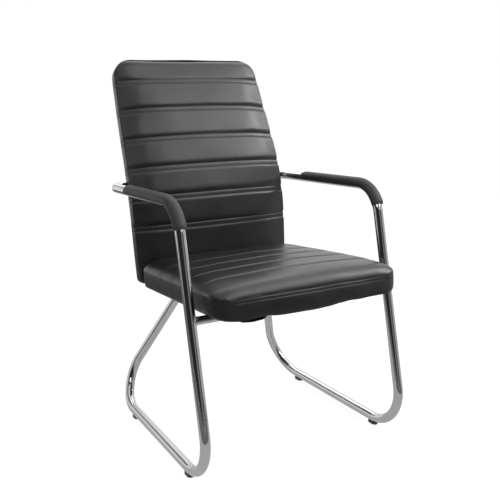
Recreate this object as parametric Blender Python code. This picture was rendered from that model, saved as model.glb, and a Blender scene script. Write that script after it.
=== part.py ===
"""A visitor chair: a padded seat and back on a bent tube frame that stands on two floor runners.

Metres, +Z up. The chair faces -Y, and left is the sitter's left, at +X.
"""

import math

import bmesh
import bpy
from mathutils import Matrix, Vector
from mathutils.geometry import intersect_line_line

# Clearance that touching pieces keep, because meshes can't share a face.
GAP = 0.0003

# The chair's own zero lies on the floor below the sitter. This moves it to the middle of the depth.
MIDDLE_BACK = 0.0314

# Bent tubes.
TUBE_RADIUS = 0.0125
TUBE_WALL = 0.0015
TUBE_SIDES_SETTING = 5
TUBE_SIDES = 4 + 2 * TUBE_SIDES_SETTING  # what a curve's bevel gives at that setting
BEND_STEP = math.radians(13)
SHARP_ANGLE = math.radians(35)
GLIDE_HEIGHT = 0.006
RUNNER_Z = GLIDE_HEIGHT + TUBE_RADIUS

# Arms, front legs and floor runners: half spans from the middle, then places along Y and Z.
ARM_REAR_SPAN = 0.274
ARM_FRONT_SPAN = 0.283
ARM_FRONT_Y = -0.190
ARM_FRONT_Z = 0.657
RUNNER_FRONT_SPAN = ARM_FRONT_SPAN - 0.0006  # the front legs stand all but upright
RUNNER_FRONT_Y = -0.3356
RUNNER_REAR_SPAN = 0.2715
RUNNER_REAR_Y = 0.310
ARM_REAR_BEND = 0.046
ARM_FRONT_BEND = 0.082
FRONT_FLOOR_BEND = 0.099
REAR_FLOOR_BEND = 0.090
BEARER_BEND = 0.060

# Cross tube between the front legs.
CROSS_RADIUS = 0.010
CROSS_Z = 0.3965

# The seat lies on its own tilted plane. Its zero is on top of the cross tube, y runs rearward.
SEAT_TILT = math.radians(4.3)
BEARER_SPAN = 0.1325
BEARER_REAR = 0.379
STRAP_THICKNESS = 0.003
STRAP_WIDTH = 0.040
STRAP_BEND = 0.009
STRAP_FRONT = 0.030
STRAP_TOP = 0.150
SEAT_BOLT_FRONT = 0.055
SEAT_BOLT_REAR = 0.300

DUST_COVER = 0.001
SEAT_BOARD = 0.012
SEAT_FRONT = -0.082
SEAT_FRONT_SPAN = 0.261
SEAT_REAR_SPAN = 0.247
SEAT_RIM_DROP = 0.001
SEAT_HANG = 0.0075  # how far the front edge hangs below the sides
SEAT_HEIGHT = 0.074
SEAT_CROWN = 0.007
SEAT_FRONT_CORNER = 0.042
SEAT_FRONT_ROLL = 0.034
SEAT_REAR_CORNER = 0.045
SEAT_REAR_ROLL = 0.022
SEAT_CHANNELS = 4
SEAT_FIRST_CHANNEL = 0.004
CHANNEL_PITCH = 0.0810

# The back follows a profile: a straight foot, one bend, a straight top. Lengths run up along the
# front face of its board, depths run rearward from that face.
BACK_FOOT_Y = 0.1994
BACK_FOOT_Z = CROSS_Z - 0.0215  # the back hangs a little below the cross tube
BACK_FOOT_LEAN = math.radians(5.5)
BACK_TOP_LEAN = math.radians(24.5)
BACK_FOOT_LENGTH = 0.1556
BACK_BEND = 0.632
BACK_LENGTH = 0.637
BACK_BOARD = 0.011
BACK_PANEL = 0.0085
BACK_PADDING = 0.038
BACK_CROWN = 0.008
BACK_RIM = 0.014
BACK_WIDEST = 0.2420
BACK_WIDEST_AT = 0.250
BACK_TAPER = 1.6  # how late the width narrows towards the top
BACK_FOOT_SPAN = 0.2355
BACK_TOP_SPAN = 0.223
BACK_TOP_CORNER = 0.048
BACK_TOP_ROLL = 0.026
BACK_FOOT_CORNER = 0.014
BACK_FOOT_ROLL = 0.018
BACK_CHANNELS = 6
BACK_FIRST_CHANNEL = 0.1540
BACK_BOLT_ALONG = 0.2800
BACK_BOLT_SPAN = 0.095
STRAP_BOLT_LOW = 0.050
STRAP_BOLT_HIGH = 0.125

# Upholstery.
RIBBON = 0.012
CHANNEL_DEPTH = 0.004
CHANNEL_SLOPE = 0.007
RIBBON_SINK = 0.4  # the ribbon's middle lies this share of the channel's depth down
EDGE_ROUND = 0.022
EDGE_SHARE = 0.55  # at a thin end the rounds take at most these shares of the height
RIM_ROUND = 0.008
RIM_SHARE = 0.25
SIDE_SWELL = 0.002
TOP_POINTS = (0.5,)  # shares of the flat half width
CROWN_FLATNESS = 4
COVER_SIDE = 0.004
COVER_TOP = 0.009
COVER_RIM = 0.003
BOARD_INSET = 0.014
FOAM_GAP = 0.0008
BOARD_CORNER = 0.045
PANEL_EASE = 0.003
BACK_RUNS = 16
FOAM_RUNS = 6
FOAM_RUN_END = 0.076

# Arm pads.
PAD_RADIUS = 0.0175
PAD_WRAP = math.radians(20)
PAD_REAR_Y = 0.140
PAD_BEND_STEPS = 4
PAD_END_SHARE = 0.9  # how much of the next step it covers as well
PAD_TIP = 0.016
PAD_TIP_STAGES = ((0.0, 0.25), (0.5, 0.75), (1.0, 1.0))  # shares of the tip and of the thickness
PAD_STEPS = 10

# Glides on the runners.
GLIDE_LENGTH = 0.032
GLIDE_WIDTH = 0.018
GLIDE_END_STEPS = 6
GLIDE_SADDLE = 0.004
GLIDE_STEM = 0.004
GLIDE_STEM_TOP = 0.016
GLIDE_FRONT_Y = -0.214
GLIDE_REAR_Y = 0.150

# Fasteners.
BOLT_RADIUS = 0.003
BOLT_HEAD_RADIUS = 0.006
BOLT_HEAD = 0.0025
BOLT_CHAMFER = 0.001
SOCKET_RADIUS = 0.0023
SOCKET_DEPTH = 0.0015
NUT_FLANGE_RADIUS = 0.0095
NUT_FLANGE = 0.0015
NUT_BARREL_RADIUS = 0.0042
NUT_BARREL = 0.0090
BOLT_HOLE = 0.0035
FASTENER_SIDES = 10
SLEEVE_LENGTH = 0.080

SIDES = {"left": 1, "right": -1}

# What follows from the sizes above.
SEAT_BEARER_Z = -(GAP + STRAP_THICKNESS + GAP + TUBE_RADIUS)
SEAT_BOARD_LOW = DUST_COVER + GAP
SEAT_BOARD_TOP = SEAT_BOARD_LOW + SEAT_BOARD
BACK_REAR = BACK_BOARD + GAP + BACK_PANEL
BACK_ARC = BACK_BEND * (BACK_TOP_LEAN - BACK_FOOT_LEAN)


def clear_scene():
    for old in list(bpy.data.objects):
        bpy.data.objects.remove(old)


def finish(name, colour, metallic, roughness):
    """A plain material: what the piece is made of, as a colour and a gloss."""
    material = bpy.data.materials.new(name)
    material.use_nodes = True
    shader = material.node_tree.nodes["Principled BSDF"]
    shader.inputs["Base Color"].default_value = (*colour, 1.0)
    shader.inputs["Metallic"].default_value = metallic
    shader.inputs["Roughness"].default_value = roughness
    return material


def empty(name, parent=None, location=(0, 0, 0), tilt=0.0):
    mark = bpy.data.objects.new(name, None)
    bpy.context.scene.collection.objects.link(mark)
    mark.parent = parent
    mark.location = location
    mark.rotation_euler = (tilt, 0, 0)
    return mark


def add_object(name, mesh, parent, material=None, location=(0, 0, 0), tilt=0.0):
    piece = bpy.data.objects.new(name, mesh)
    bpy.context.scene.collection.objects.link(piece)
    piece.parent = parent
    piece.location = location
    piece.rotation_euler = (tilt, 0, 0)
    if material:
        mesh.materials.clear()
        mesh.materials.append(material)
    return piece


def mesh_from(name, bm):
    bmesh.ops.recalc_face_normals(bm, faces=bm.faces)
    mesh = bpy.data.meshes.new(name)
    bm.to_mesh(mesh)
    bm.free()
    mesh.shade_smooth()
    mesh.set_sharp_from_angle(angle=SHARP_ANGLE)
    return mesh


def skinned(name, loops):
    """A mesh skinned over loops of equally many points and capped at both ends."""
    bm = bmesh.new()
    rows = [[bm.verts.new(point) for point in loop] for loop in loops]
    for near, far in zip(rows, rows[1:]):
        for k in range(len(near)):
            j = (k + 1) % len(near)
            bm.faces.new((near[k], near[j], far[j], far[k]))
    bm.faces.new(rows[0])
    bm.faces.new(rows[-1])
    return mesh_from(name, bm)


def extruded(name, outline, rise):
    """A flat outline pulled along a vector into a solid."""
    bm = bmesh.new()
    face = bm.faces.new([bm.verts.new(point) for point in outline])
    pulled = bmesh.ops.extrude_face_region(bm, geom=[face])["geom"]
    moved = [part for part in pulled if isinstance(part, bmesh.types.BMVert)]
    bmesh.ops.translate(bm, verts=moved, vec=rise)
    return mesh_from(name, bm)


def turned(name, profile, closed=False):
    """A profile of (radius, height) points spun round Z."""
    bm = bmesh.new()
    points = [bm.verts.new((radius, 0, height)) for radius, height in profile]
    edges = [bm.edges.new(pair) for pair in zip(points, points[1:])]
    if closed:
        edges.append(bm.edges.new((points[-1], points[0])))
    bmesh.ops.spin(
        bm, geom=points + edges, cent=(0, 0, 0), axis=(0, 0, 1), angle=2 * math.pi, steps=FASTENER_SIDES
    )
    bmesh.ops.remove_doubles(bm, verts=bm.verts, dist=0.00001)
    return mesh_from(name, bm)


def rods(name, spans, parent, sides=16):
    """Cutters: one straight rod for each (start, end, radius)."""
    bm = bmesh.new()
    for start, end, radius in spans:
        start, end = Vector(start), Vector(end)
        along = end - start
        turn = along.to_track_quat("Z", "Y").to_matrix().to_4x4()
        place = Matrix.Translation((start + end) / 2) @ turn
        bmesh.ops.create_cone(
            bm, cap_ends=True, segments=sides, radius1=radius, radius2=radius,
            depth=along.length, matrix=place,
        )
    cutter = add_object(name, mesh_from(name, bm), parent)
    return hide_cutter(cutter)


def hide_cutter(cutter):
    cutter.hide_render = True
    cutter.display_type = "WIRE"
    return cutter


def combine(piece, tool, operation="DIFFERENCE"):
    boolean = piece.modifiers.new("shape with " + tool.name, "BOOLEAN")
    boolean.operation = operation
    boolean.object = tool
    boolean.solver = "EXACT"


def rounded_route(corners, radii):
    """Points along straight runs whose inner corners are arcs. Returns the points, and for each
    corner the index of its arc's first point."""
    corners = [Vector(corner) for corner in corners]
    route = [corners[0]]
    firsts = []
    for before, corner, after, radius in zip(corners, corners[1:], corners[2:], radii):
        inward = (before - corner).normalized()
        outward = (after - corner).normalized()
        turn = math.pi - inward.angle(outward)
        reach = radius * math.tan(turn / 2)
        start = corner + inward * reach
        middle = corner + (inward + outward).normalized() * radius / math.cos(turn / 2)
        steps = max(2, round(turn / BEND_STEP))
        axis = (start - middle).cross(-inward).normalized()
        firsts.append(len(route))
        for step in range(steps + 1):
            spin = Matrix.Rotation(turn * step / steps, 3, axis)
            route.append(middle + spin @ (start - middle))
    route.append(corners[-1])
    return route, firsts


def tube(name, route, radius, wall, parent, material):
    """A hollow tube with open ends, bent along a route."""
    curve = bpy.data.curves.new(name + "_line", "CURVE")
    curve.dimensions = "3D"
    curve.bevel_depth = radius
    curve.bevel_resolution = TUBE_SIDES_SETTING
    spline = curve.splines.new("POLY")
    spline.points.add(len(route) - 1)
    for point, place in zip(spline.points, route):
        point.co = (*place, 1)
    line = bpy.data.objects.new(name + "_line", curve)
    mesh = bpy.data.meshes.new_from_object(line)
    bpy.data.objects.remove(line)
    mesh.name = name
    mesh.shade_smooth()
    piece = add_object(name, mesh, parent, material)
    shell = piece.modifiers.new("wall", "SOLIDIFY")
    shell.thickness = wall
    shell.offset = -1
    shell.use_even_offset = True
    return piece


def seat_point(x, y, z):
    """A point given on the tilted seat plane, in the chair's own frame."""
    cross = Vector((0, front_leg_y(CROSS_Z), CROSS_Z))
    tilt = Matrix.Rotation(-SEAT_TILT, 3, "X")
    return cross + tilt @ Vector((x, y, CROSS_RADIUS + GAP + z))


def front_leg_y(z):
    share = (ARM_FRONT_Z - z) / (ARM_FRONT_Z - RUNNER_Z)
    return ARM_FRONT_Y + share * (RUNNER_FRONT_Y - ARM_FRONT_Y)


def front_leg_span(z):
    share = (ARM_FRONT_Z - z) / (ARM_FRONT_Z - RUNNER_Z)
    return ARM_FRONT_SPAN + share * (RUNNER_FRONT_SPAN - ARM_FRONT_SPAN)


def runner_span(y):
    share = (y - RUNNER_FRONT_Y) / (RUNNER_REAR_Y - RUNNER_FRONT_Y)
    return RUNNER_FRONT_SPAN + share * (RUNNER_REAR_SPAN - RUNNER_FRONT_SPAN)


def back_lean(along):
    bent = min(max(along - BACK_FOOT_LENGTH, 0), BACK_ARC)
    return BACK_FOOT_LEAN + bent / BACK_BEND


def back_point(x, along, depth):
    """A point given by its height along the back's profile and its depth behind the board's face."""
    foot = min(along, BACK_FOOT_LENGTH)
    top = max(along - BACK_FOOT_LENGTH - BACK_ARC, 0)
    lean = back_lean(along)
    y = BACK_FOOT_Y + foot * math.sin(BACK_FOOT_LEAN) + top * math.sin(BACK_TOP_LEAN)
    z = BACK_FOOT_Z + foot * math.cos(BACK_FOOT_LEAN) + top * math.cos(BACK_TOP_LEAN)
    y += BACK_BEND * (math.cos(BACK_FOOT_LEAN) - math.cos(lean))
    z += BACK_BEND * (math.sin(lean) - math.sin(BACK_FOOT_LEAN))
    return Vector((x, y + depth * math.cos(lean), z - depth * math.sin(lean)))


def back_bolt_tilt(along):
    """The turn about X that points a fastener's +Z forward, square to the back."""
    return math.pi / 2 - back_lean(along)


def seat_rear():
    """How far back the seat reaches: it stops against the crowned front of the back."""
    face = back_point(0, SEAT_HEIGHT / 2, -(BACK_PADDING + BACK_CROWN))
    cross = seat_point(0, 0, SEAT_HEIGHT / 2)
    return (face.y - cross.y) / math.cos(SEAT_TILT) - 2 * GAP


# Side frames


def side_corners(side):
    sign = SIDES[side]
    bar = back_point(0, BACK_BOLT_ALONG, BACK_REAR + GAP + TUBE_RADIUS)
    bearer = seat_point(BEARER_SPAN, BEARER_REAR, SEAT_BEARER_Z)
    nose = seat_point(BEARER_SPAN, 0, SEAT_BEARER_Z)
    corners = [
        (GAP / 2, bar.y, bar.z),
        (ARM_REAR_SPAN, bar.y, bar.z),
        (ARM_FRONT_SPAN, ARM_FRONT_Y, ARM_FRONT_Z),
        (RUNNER_FRONT_SPAN, RUNNER_FRONT_Y, RUNNER_Z),
        (RUNNER_REAR_SPAN, RUNNER_REAR_Y, RUNNER_Z),
        tuple(bearer),
        tuple(nose),
    ]
    return [(sign * x, y, z) for x, y, z in corners]


SIDE_BENDS = [ARM_REAR_BEND, ARM_FRONT_BEND, FRONT_FLOOR_BEND, REAR_FLOOR_BEND, BEARER_BEND]


def make_side_tube(side, chair, chrome):
    """One bent tube: half the bar behind the back, arm, front leg, runner, rear leg, seat bearer."""
    route, _ = rounded_route(side_corners(side), SIDE_BENDS)
    piece = tube(side + "_side_tube", route, TUBE_RADIUS, TUBE_WALL, chair, chrome)
    sign = SIDES[side]
    cross_mid = (0, front_leg_y(CROSS_Z), CROSS_Z)
    cross_end = (sign * ARM_FRONT_SPAN, cross_mid[1], CROSS_Z)
    cuts = [(cross_mid, cross_end, CROSS_RADIUS + GAP)]
    for y in (SEAT_BOLT_FRONT, SEAT_BOLT_REAR):
        low = seat_point(sign * BEARER_SPAN, y, SEAT_BEARER_Z - 2 * TUBE_RADIUS)
        high = seat_point(sign * BEARER_SPAN, y, SEAT_BEARER_Z + 2 * TUBE_RADIUS)
        cuts.append((low, high, BOLT_HOLE))
    for y in (GLIDE_FRONT_Y, GLIDE_REAR_Y):
        x = sign * runner_span(y)
        cuts.append(((x, y, 0), (x, y, RUNNER_Z), GLIDE_STEM + GAP))
    x = sign * BACK_BOLT_SPAN
    front = back_point(x, BACK_BOLT_ALONG, BACK_REAR - TUBE_RADIUS)
    rear = back_point(x, BACK_BOLT_ALONG, BACK_REAR + 4 * TUBE_RADIUS)
    cuts.append((front, rear, BOLT_HOLE))
    combine(piece, rods(side + "_tube_cuts", cuts, chair))
    return piece


def make_cross_tube(chair, chrome):
    """Its ends are notched to fit round the front legs, as for welding."""
    y = front_leg_y(CROSS_Z)
    span = front_leg_span(CROSS_Z)
    route = [(-span, y, CROSS_Z), (span, y, CROSS_Z)]
    piece = tube("front_cross_tube", route, CROSS_RADIUS, TUBE_WALL, chair, chrome)
    reach = 3 * TUBE_RADIUS
    legs = []
    for sign in SIDES.values():
        top = (sign * front_leg_span(CROSS_Z + reach), front_leg_y(CROSS_Z + reach), CROSS_Z + reach)
        low = (sign * front_leg_span(CROSS_Z - reach), front_leg_y(CROSS_Z - reach), CROSS_Z - reach)
        legs.append((low, top, TUBE_RADIUS + GAP))
    combine(piece, rods("cross_tube_notches", legs, chair, sides=32))
    return piece


def make_joint_sleeve(chair, steel):
    """Plugs the two halves of the bar behind the back together."""
    middle = back_point(0, BACK_BOLT_ALONG, BACK_REAR + GAP + TUBE_RADIUS)
    half = SLEEVE_LENGTH / 2
    route = [(-half, middle.y, middle.z), (half, middle.y, middle.z)]
    inner = (TUBE_RADIUS - TUBE_WALL) * math.cos(math.pi / TUBE_SIDES)
    return tube("back_bar_sleeve", route, inner - GAP, TUBE_WALL, chair, steel)


def make_glide(side, end, chair, plastic):
    """A plastic foot: a saddle under the runner, with a stem plugged into a hole in it."""
    y = GLIDE_FRONT_Y if end == "front" else GLIDE_REAR_Y
    x = SIDES[side] * runner_span(y)
    name = f"{end}_{side}_glide"
    half, radius = GLIDE_LENGTH / 2, GLIDE_WIDTH / 2
    outline = []
    for sign in (1, -1):
        for step in range(GLIDE_END_STEPS + 1):
            angle = math.pi * step / GLIDE_END_STEPS
            point = Vector((radius * math.cos(angle), half - radius + radius * math.sin(angle), 0))
            outline.append(point * sign)
    body = extruded(name, outline, (0, 0, GLIDE_HEIGHT + GLIDE_SADDLE))
    piece = add_object(name, body, chair, plastic, location=(x, y, 0))
    ahead = (runner_span(y - 1) - runner_span(y)) * SIDES[side]
    near = (x + ahead * half * 2, y - half * 2, RUNNER_Z)
    far = (x - ahead * half * 2, y + half * 2, RUNNER_Z)
    combine(piece, rods(name + "_saddle", [(near, far, TUBE_RADIUS + GAP)], chair, sides=32))
    low = (x, y, GLIDE_HEIGHT / 2)
    stem = rods(name + "_stem", [(low, (x, y, GLIDE_STEM_TOP), GLIDE_STEM)], chair)
    combine(piece, stem, "UNION")
    return piece


# Arm pads


def pad_section(centre, along, outer):
    """A saddle section round the tube, open at the side away from `up`."""
    side = Vector((1, 0, 0))
    side = (side - along * side.dot(along)).normalized()
    up = along.cross(side).normalized()
    sweep = math.pi + 2 * PAD_WRAP
    snug = (TUBE_RADIUS + GAP) / math.cos(sweep / PAD_STEPS / 2)
    loop = []
    for radius, order in ((outer, range(PAD_STEPS + 1)), (snug, range(PAD_STEPS, -1, -1))):
        for step in order:
            angle = sweep * step / PAD_STEPS - PAD_WRAP
            loop.append(centre + (side * math.cos(angle) + up * math.sin(angle)) * radius)
    return loop


def make_arm_pad(side, chair, pad_skin):
    """It follows the arm and most of the front bend, on the same points as the tube inside it."""
    corners = side_corners(side)
    route, firsts = rounded_route(corners, SIDE_BENDS)
    rear, front = Vector(corners[1]), Vector(corners[2])
    ahead = (front - rear).normalized()
    start = rear + ahead * (rear.y - PAD_REAR_Y) / -ahead.y
    bend = route[firsts[1]: firsts[1] + PAD_BEND_STEPS + 1]
    thickness = PAD_RADIUS - TUBE_RADIUS - GAP
    stations = [(start + ahead * PAD_TIP * share, fullness) for share, fullness in PAD_TIP_STAGES]
    stations += [(point, 1.0) for point in bend]
    after = route[firsts[1] + PAD_BEND_STEPS + 1]
    stations.append((bend[-1].lerp(after, PAD_END_SHARE), 1.0))
    loops = []
    for k, (point, fullness) in enumerate(stations):
        before = stations[k - 1][0] if k else point - ahead
        beyond = stations[k + 1][0] if k + 1 < len(stations) else after
        along = ((point - before).normalized() + (beyond - point).normalized()).normalized()
        outer = TUBE_RADIUS + GAP + thickness * fullness
        loops.append(pad_section(point, along, outer))
    return add_object(side + "_arm_pad", skinned(side + "_arm_pad", loops), chair, pad_skin)


# Cushions


def end_drop(distance, radius):
    """How much a quarter round of this radius takes off at a distance from its end."""
    if distance >= radius:
        return 0.0
    return radius - math.sqrt(radius**2 - (radius - distance) ** 2)


def cushion_section(half_width, low, high, crown, groove):
    """A loop of (across, height): round shoulders, swelling sides, a tighter rim below, and a
    crowned and grooved top."""
    tall = high - low
    shoulder = min(EDGE_ROUND, EDGE_SHARE * tall)
    rim = min(RIM_ROUND, RIM_SHARE * tall)
    side = half_width - SIDE_SWELL
    right = []
    for angle in (-90, -40, 0):
        turn = math.radians(angle)
        right.append((side - rim + rim * math.cos(turn), low + rim + rim * math.sin(turn)))
    right.append((half_width, (low + rim + high - shoulder) / 2))
    for angle in (0, 30, 60, 90):
        turn = math.radians(angle)
        across = side - shoulder + shoulder * math.cos(turn)
        right.append((across, high - shoulder + shoulder * math.sin(turn)))
    flat = right[-1][0]
    right += [(flat * share, high) for share in TOP_POINTS]
    loop = right + [(0.0, high)] + [(-across, height) for across, height in reversed(right)]
    shaped = []
    for across, height in loop:
        fullness = max(0.0, (height - low) / tall) ** 2
        bow = crown * (1 - (across / half_width) ** 2)
        shaped.append((across, height + (bow - groove) * fullness))
    return shaped


def channel_depth(along, channels):
    """Depth of the sewn channels at a place: two stitched lines with a raised ribbon between."""
    for middle in channels:
        apart = abs(along - middle)
        if apart < RIBBON / 2:
            return CHANNEL_DEPTH * (RIBBON_SINK + (1 - RIBBON_SINK) * (2 * apart / RIBBON) ** 2)
        if apart < RIBBON / 2 + CHANNEL_SLOPE:
            return CHANNEL_DEPTH * (1 - (apart - RIBBON / 2) / CHANNEL_SLOPE)
    return 0.0


def channel_stations(channels):
    places = []
    for middle in channels:
        for off in (-RIBBON / 2 - CHANNEL_SLOPE, -RIBBON / 2, 0, RIBBON / 2, RIBBON / 2 + CHANNEL_SLOPE):
            places.append(middle + off)
    return places


def end_stations(first, last, corner_first, corner_last, steps):
    """Places that follow the rounded ends, closer together towards them."""
    rise = [1 - math.cos(math.pi / 2 * k / steps) for k in range(steps + 1)]
    return [first + corner_first * r for r in rise], [last - corner_last * r for r in reversed(rise)]


def seat_shape(side, top, rim):
    """The seat cushion's form on the seat plane, drawn in by these amounts at its sides, top and rim."""
    first, last = SEAT_FRONT + side, seat_rear() - side

    def size(along):
        share = (along - first) / (last - first)
        front, rear = along - first, last - along
        half = SEAT_FRONT_SPAN + share * (SEAT_REAR_SPAN - SEAT_FRONT_SPAN) - side
        half -= end_drop(front, SEAT_FRONT_CORNER) + end_drop(rear, SEAT_REAR_CORNER)
        high = SEAT_HEIGHT - top
        high -= end_drop(front, SEAT_FRONT_ROLL) + end_drop(rear, SEAT_REAR_ROLL)
        low = rim - SEAT_RIM_DROP - SEAT_HANG * max(0.0, 1 - front / SEAT_FRONT_CORNER)
        low += end_drop(front, RIM_ROUND) + end_drop(rear, RIM_ROUND)
        return half, low, high, SEAT_CROWN * (1 - (2 * share - 1) ** CROWN_FLATNESS)

    return first, last, size


def back_shape(side, top, rim):
    """The back cushion's form along the back's profile, drawn in the same way. Heights run forward."""
    first, last = side, BACK_LENGTH - side

    def size(along):
        foot, head = along - first, last - along
        if along < BACK_WIDEST_AT:
            half = BACK_WIDEST - (BACK_WIDEST - BACK_FOOT_SPAN) * (1 - along / BACK_WIDEST_AT) ** 2
        else:
            share = (along - BACK_WIDEST_AT) / (BACK_LENGTH - BACK_WIDEST_AT)
            half = BACK_WIDEST - (BACK_WIDEST - BACK_TOP_SPAN) * share**BACK_TAPER
        half -= side + end_drop(foot, BACK_FOOT_CORNER) + end_drop(head, BACK_TOP_CORNER)
        high = BACK_PADDING - top
        high -= end_drop(foot, BACK_FOOT_ROLL) + end_drop(head, BACK_TOP_ROLL)
        low = rim - BACK_RIM
        low += end_drop(head, RIM_ROUND) + end_drop(foot, RIM_ROUND)
        share = (along - first) / (last - first)
        return half, low, high, BACK_CROWN * (1 - (2 * share - 1) ** CROWN_FLATNESS)

    return first, last, size


def seat_place(across, along, height):
    return (across, along, height)


def back_place(across, along, height):
    return back_point(across, along, -height)


def cushion(name, shape, corners, channels, place, steps, between=()):
    """Skins the sections of a shape along its length. `place` puts a section's point in space."""
    first, last, size = shape
    near, far = end_stations(first, last, *corners, steps)
    inner = [p for p in channel_stations(channels) + list(between) if near[-1] < p < far[0]]
    loops = []
    for along in near + sorted(inner) + far:
        half, low, high, crown = size(along)
        groove = channel_depth(along, channels)
        section = cushion_section(half, low, high, crown, groove)
        loops.append([place(across, along, height) for across, height in section])
    return skinned(name, loops)


def row(first, pitch, count):
    return [first + pitch * k for k in range(count)]


# Boards and panels


def board_outline(shape, inset, runs):
    """Half widths along a board inside a cushion's shape, with round corners. `runs` is the number of
    straight spans between its corners, more where the board is bent."""
    first, last, size = shape
    low, high = first + inset, last - inset
    near, far = end_stations(low, high, BOARD_CORNER, BOARD_CORNER, 5)
    middle = row(near[-1], (far[0] - near[-1]) / runs, runs)[1:]
    clear = 2 * BOARD_CORNER
    outline = []
    for along in near + middle + far:
        # The cushion's own rounded ends are passed over: its width is read where they have ended.
        half = size(min(max(along, first + clear), last - clear))[0] - inset
        half -= end_drop(along - low, BOARD_CORNER) + end_drop(high - along, BOARD_CORNER)
        outline.append((half, along))
    return outline


def slab(name, outline, near, far, place, ease=0.0):
    """A board between two heights. `ease` softens the edges of its near face."""
    loops = []
    for half, along in outline:
        section = [(-half, near + ease), (-half + ease, near), (half - ease, near)]
        section += [(half, near + ease), (half, far), (-half, far)]
        if not ease:
            section = [(-half, near), (half, near), (half, far), (-half, far)]
        loops.append([place(across, along, height) for across, height in section])
    return skinned(name, loops)


# Fasteners: +Z points from the head into the work, and zero is under the head or the flange.


def bolt_mesh(name, length):
    rim = BOLT_HEAD_RADIUS - BOLT_CHAMFER
    tip = BOLT_RADIUS - BOLT_CHAMFER
    return turned(name, [
        (0, -BOLT_HEAD), (rim, -BOLT_HEAD), (BOLT_HEAD_RADIUS, BOLT_CHAMFER - BOLT_HEAD),
        (BOLT_HEAD_RADIUS, 0), (BOLT_RADIUS, 0), (BOLT_RADIUS, length - BOLT_CHAMFER), (tip, length),
        (0, length),
    ])


def make_bolt(name, length, parent, location, tilt, steel):
    """A button head bolt with a hexagon socket."""
    bolt = add_object(name, bolt_mesh(name, length), parent, steel, location, tilt)
    bm = bmesh.new()
    bmesh.ops.create_cone(
        bm, cap_ends=True, segments=6, radius1=SOCKET_RADIUS, radius2=SOCKET_RADIUS,
        depth=2 * SOCKET_DEPTH, matrix=Matrix.Translation((0, 0, -BOLT_HEAD)),
    )
    socket = add_object(name + "_socket", mesh_from(name, bm), parent, None, location, tilt)
    combine(bolt, hide_cutter(socket))
    return bolt


def make_tee_nut(name, parent, location, tilt, steel):
    """A flanged nut let into the board's far face. Its barrel points back towards the head."""
    bore = BOLT_RADIUS + GAP
    mesh = turned(name, [
        (bore, -NUT_BARREL), (NUT_BARREL_RADIUS, -NUT_BARREL), (NUT_BARREL_RADIUS, -NUT_FLANGE),
        (NUT_FLANGE_RADIUS, -NUT_FLANGE), (NUT_FLANGE_RADIUS, 0), (bore, 0),
    ], closed=True)
    return add_object(name, mesh, parent, steel, location, tilt)


def cut_nut_pockets(board, faces, parent):
    """Lets each tee nut's flange and barrel into a board, from (point on its face, way in)."""
    flanges, barrels = [], []
    for face, inward in faces:
        face, inward = Vector(face), Vector(inward).normalized()
        outside = face - inward * NUT_FLANGE
        flanges.append((outside, face + inward * (NUT_FLANGE + GAP), NUT_FLANGE_RADIUS + GAP))
        barrels.append((outside, face + inward * 3 * NUT_BARREL, NUT_BARREL_RADIUS + GAP))
    combine(board, rods(board.name + "_flanges", flanges, parent))
    combine(board, rods(board.name + "_barrels", barrels, parent))


def seat_bolt_places():
    for side, sign in SIDES.items():
        for end, y in (("front", SEAT_BOLT_FRONT), ("rear", SEAT_BOLT_REAR)):
            yield f"{end}_{side}", sign * BEARER_SPAN, y


def strap_bolt_places():
    for side, sign in SIDES.items():
        for height, along in (("low", STRAP_BOLT_LOW), ("high", STRAP_BOLT_HIGH)):
            yield f"{height}_{side}", sign * BEARER_SPAN, along


def bar_bolt_places():
    for side, sign in SIDES.items():
        yield side, sign * BACK_BOLT_SPAN, BACK_BOLT_ALONG


# Straps that join the seat to the back


def strap_outline(grow):
    """The strap's side view: under the seat, then up behind the back's board."""
    middle = BACK_BOARD + GAP + STRAP_THICKNESS / 2
    level = -GAP - STRAP_THICKNESS / 2
    front = seat_point(0, STRAP_FRONT, level)
    ahead = (front - seat_point(0, STRAP_FRONT + 1, level)).normalized()
    foot, top = back_point(0, 0, middle), back_point(0, STRAP_TOP, middle)
    rise = (top - foot).normalized()
    corner = intersect_line_line(front, front + ahead, foot, foot + rise)[0]
    route, _ = rounded_route([front + ahead * grow, corner, top + rise * grow], [STRAP_BEND])
    half = STRAP_THICKNESS / 2 + grow
    upper, lower = [], []
    for k, point in enumerate(route):
        before, after = route[max(k - 1, 0)], route[min(k + 1, len(route) - 1)]
        along = (after - before).normalized()
        square = Vector((1, 0, 0)).cross(along) * half
        upper.append(point + square)
        lower.append(point - square)
    return upper + lower[::-1]


def strap_mesh(name, signs, grow=0.0):
    outline = strap_outline(grow)
    width = STRAP_WIDTH + 2 * grow
    bm = bmesh.new()
    for sign in signs:
        shift = Vector((sign * BEARER_SPAN - width / 2, 0, 0))
        face = bm.faces.new([bm.verts.new(point + shift) for point in outline])
        pulled = bmesh.ops.extrude_face_region(bm, geom=[face])["geom"]
        moved = [part for part in pulled if isinstance(part, bmesh.types.BMVert)]
        bmesh.ops.translate(bm, verts=moved, vec=(width, 0, 0))
    return mesh_from(name, bm)


def make_straps(chair, looks):
    for side, sign in SIDES.items():
        name = side + "_strap"
        strap = add_object(name, strap_mesh(name, [sign]), chair, looks["black_steel"])
        holes = []
        for _, x, y in seat_bolt_places():
            if x * sign > 0:
                ends = [seat_point(x, y, height) for height in (-SEAT_BOARD, SEAT_BOARD)]
                holes.append((*ends, BOLT_HOLE))
        for _, x, along in strap_bolt_places():
            if x * sign > 0:
                ends = [back_point(x, along, depth) for depth in (0, 2 * BACK_REAR)]
                holes.append((*ends, BOLT_HOLE))
        combine(strap, rods(name + "_holes", holes, chair))


# Seat


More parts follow.
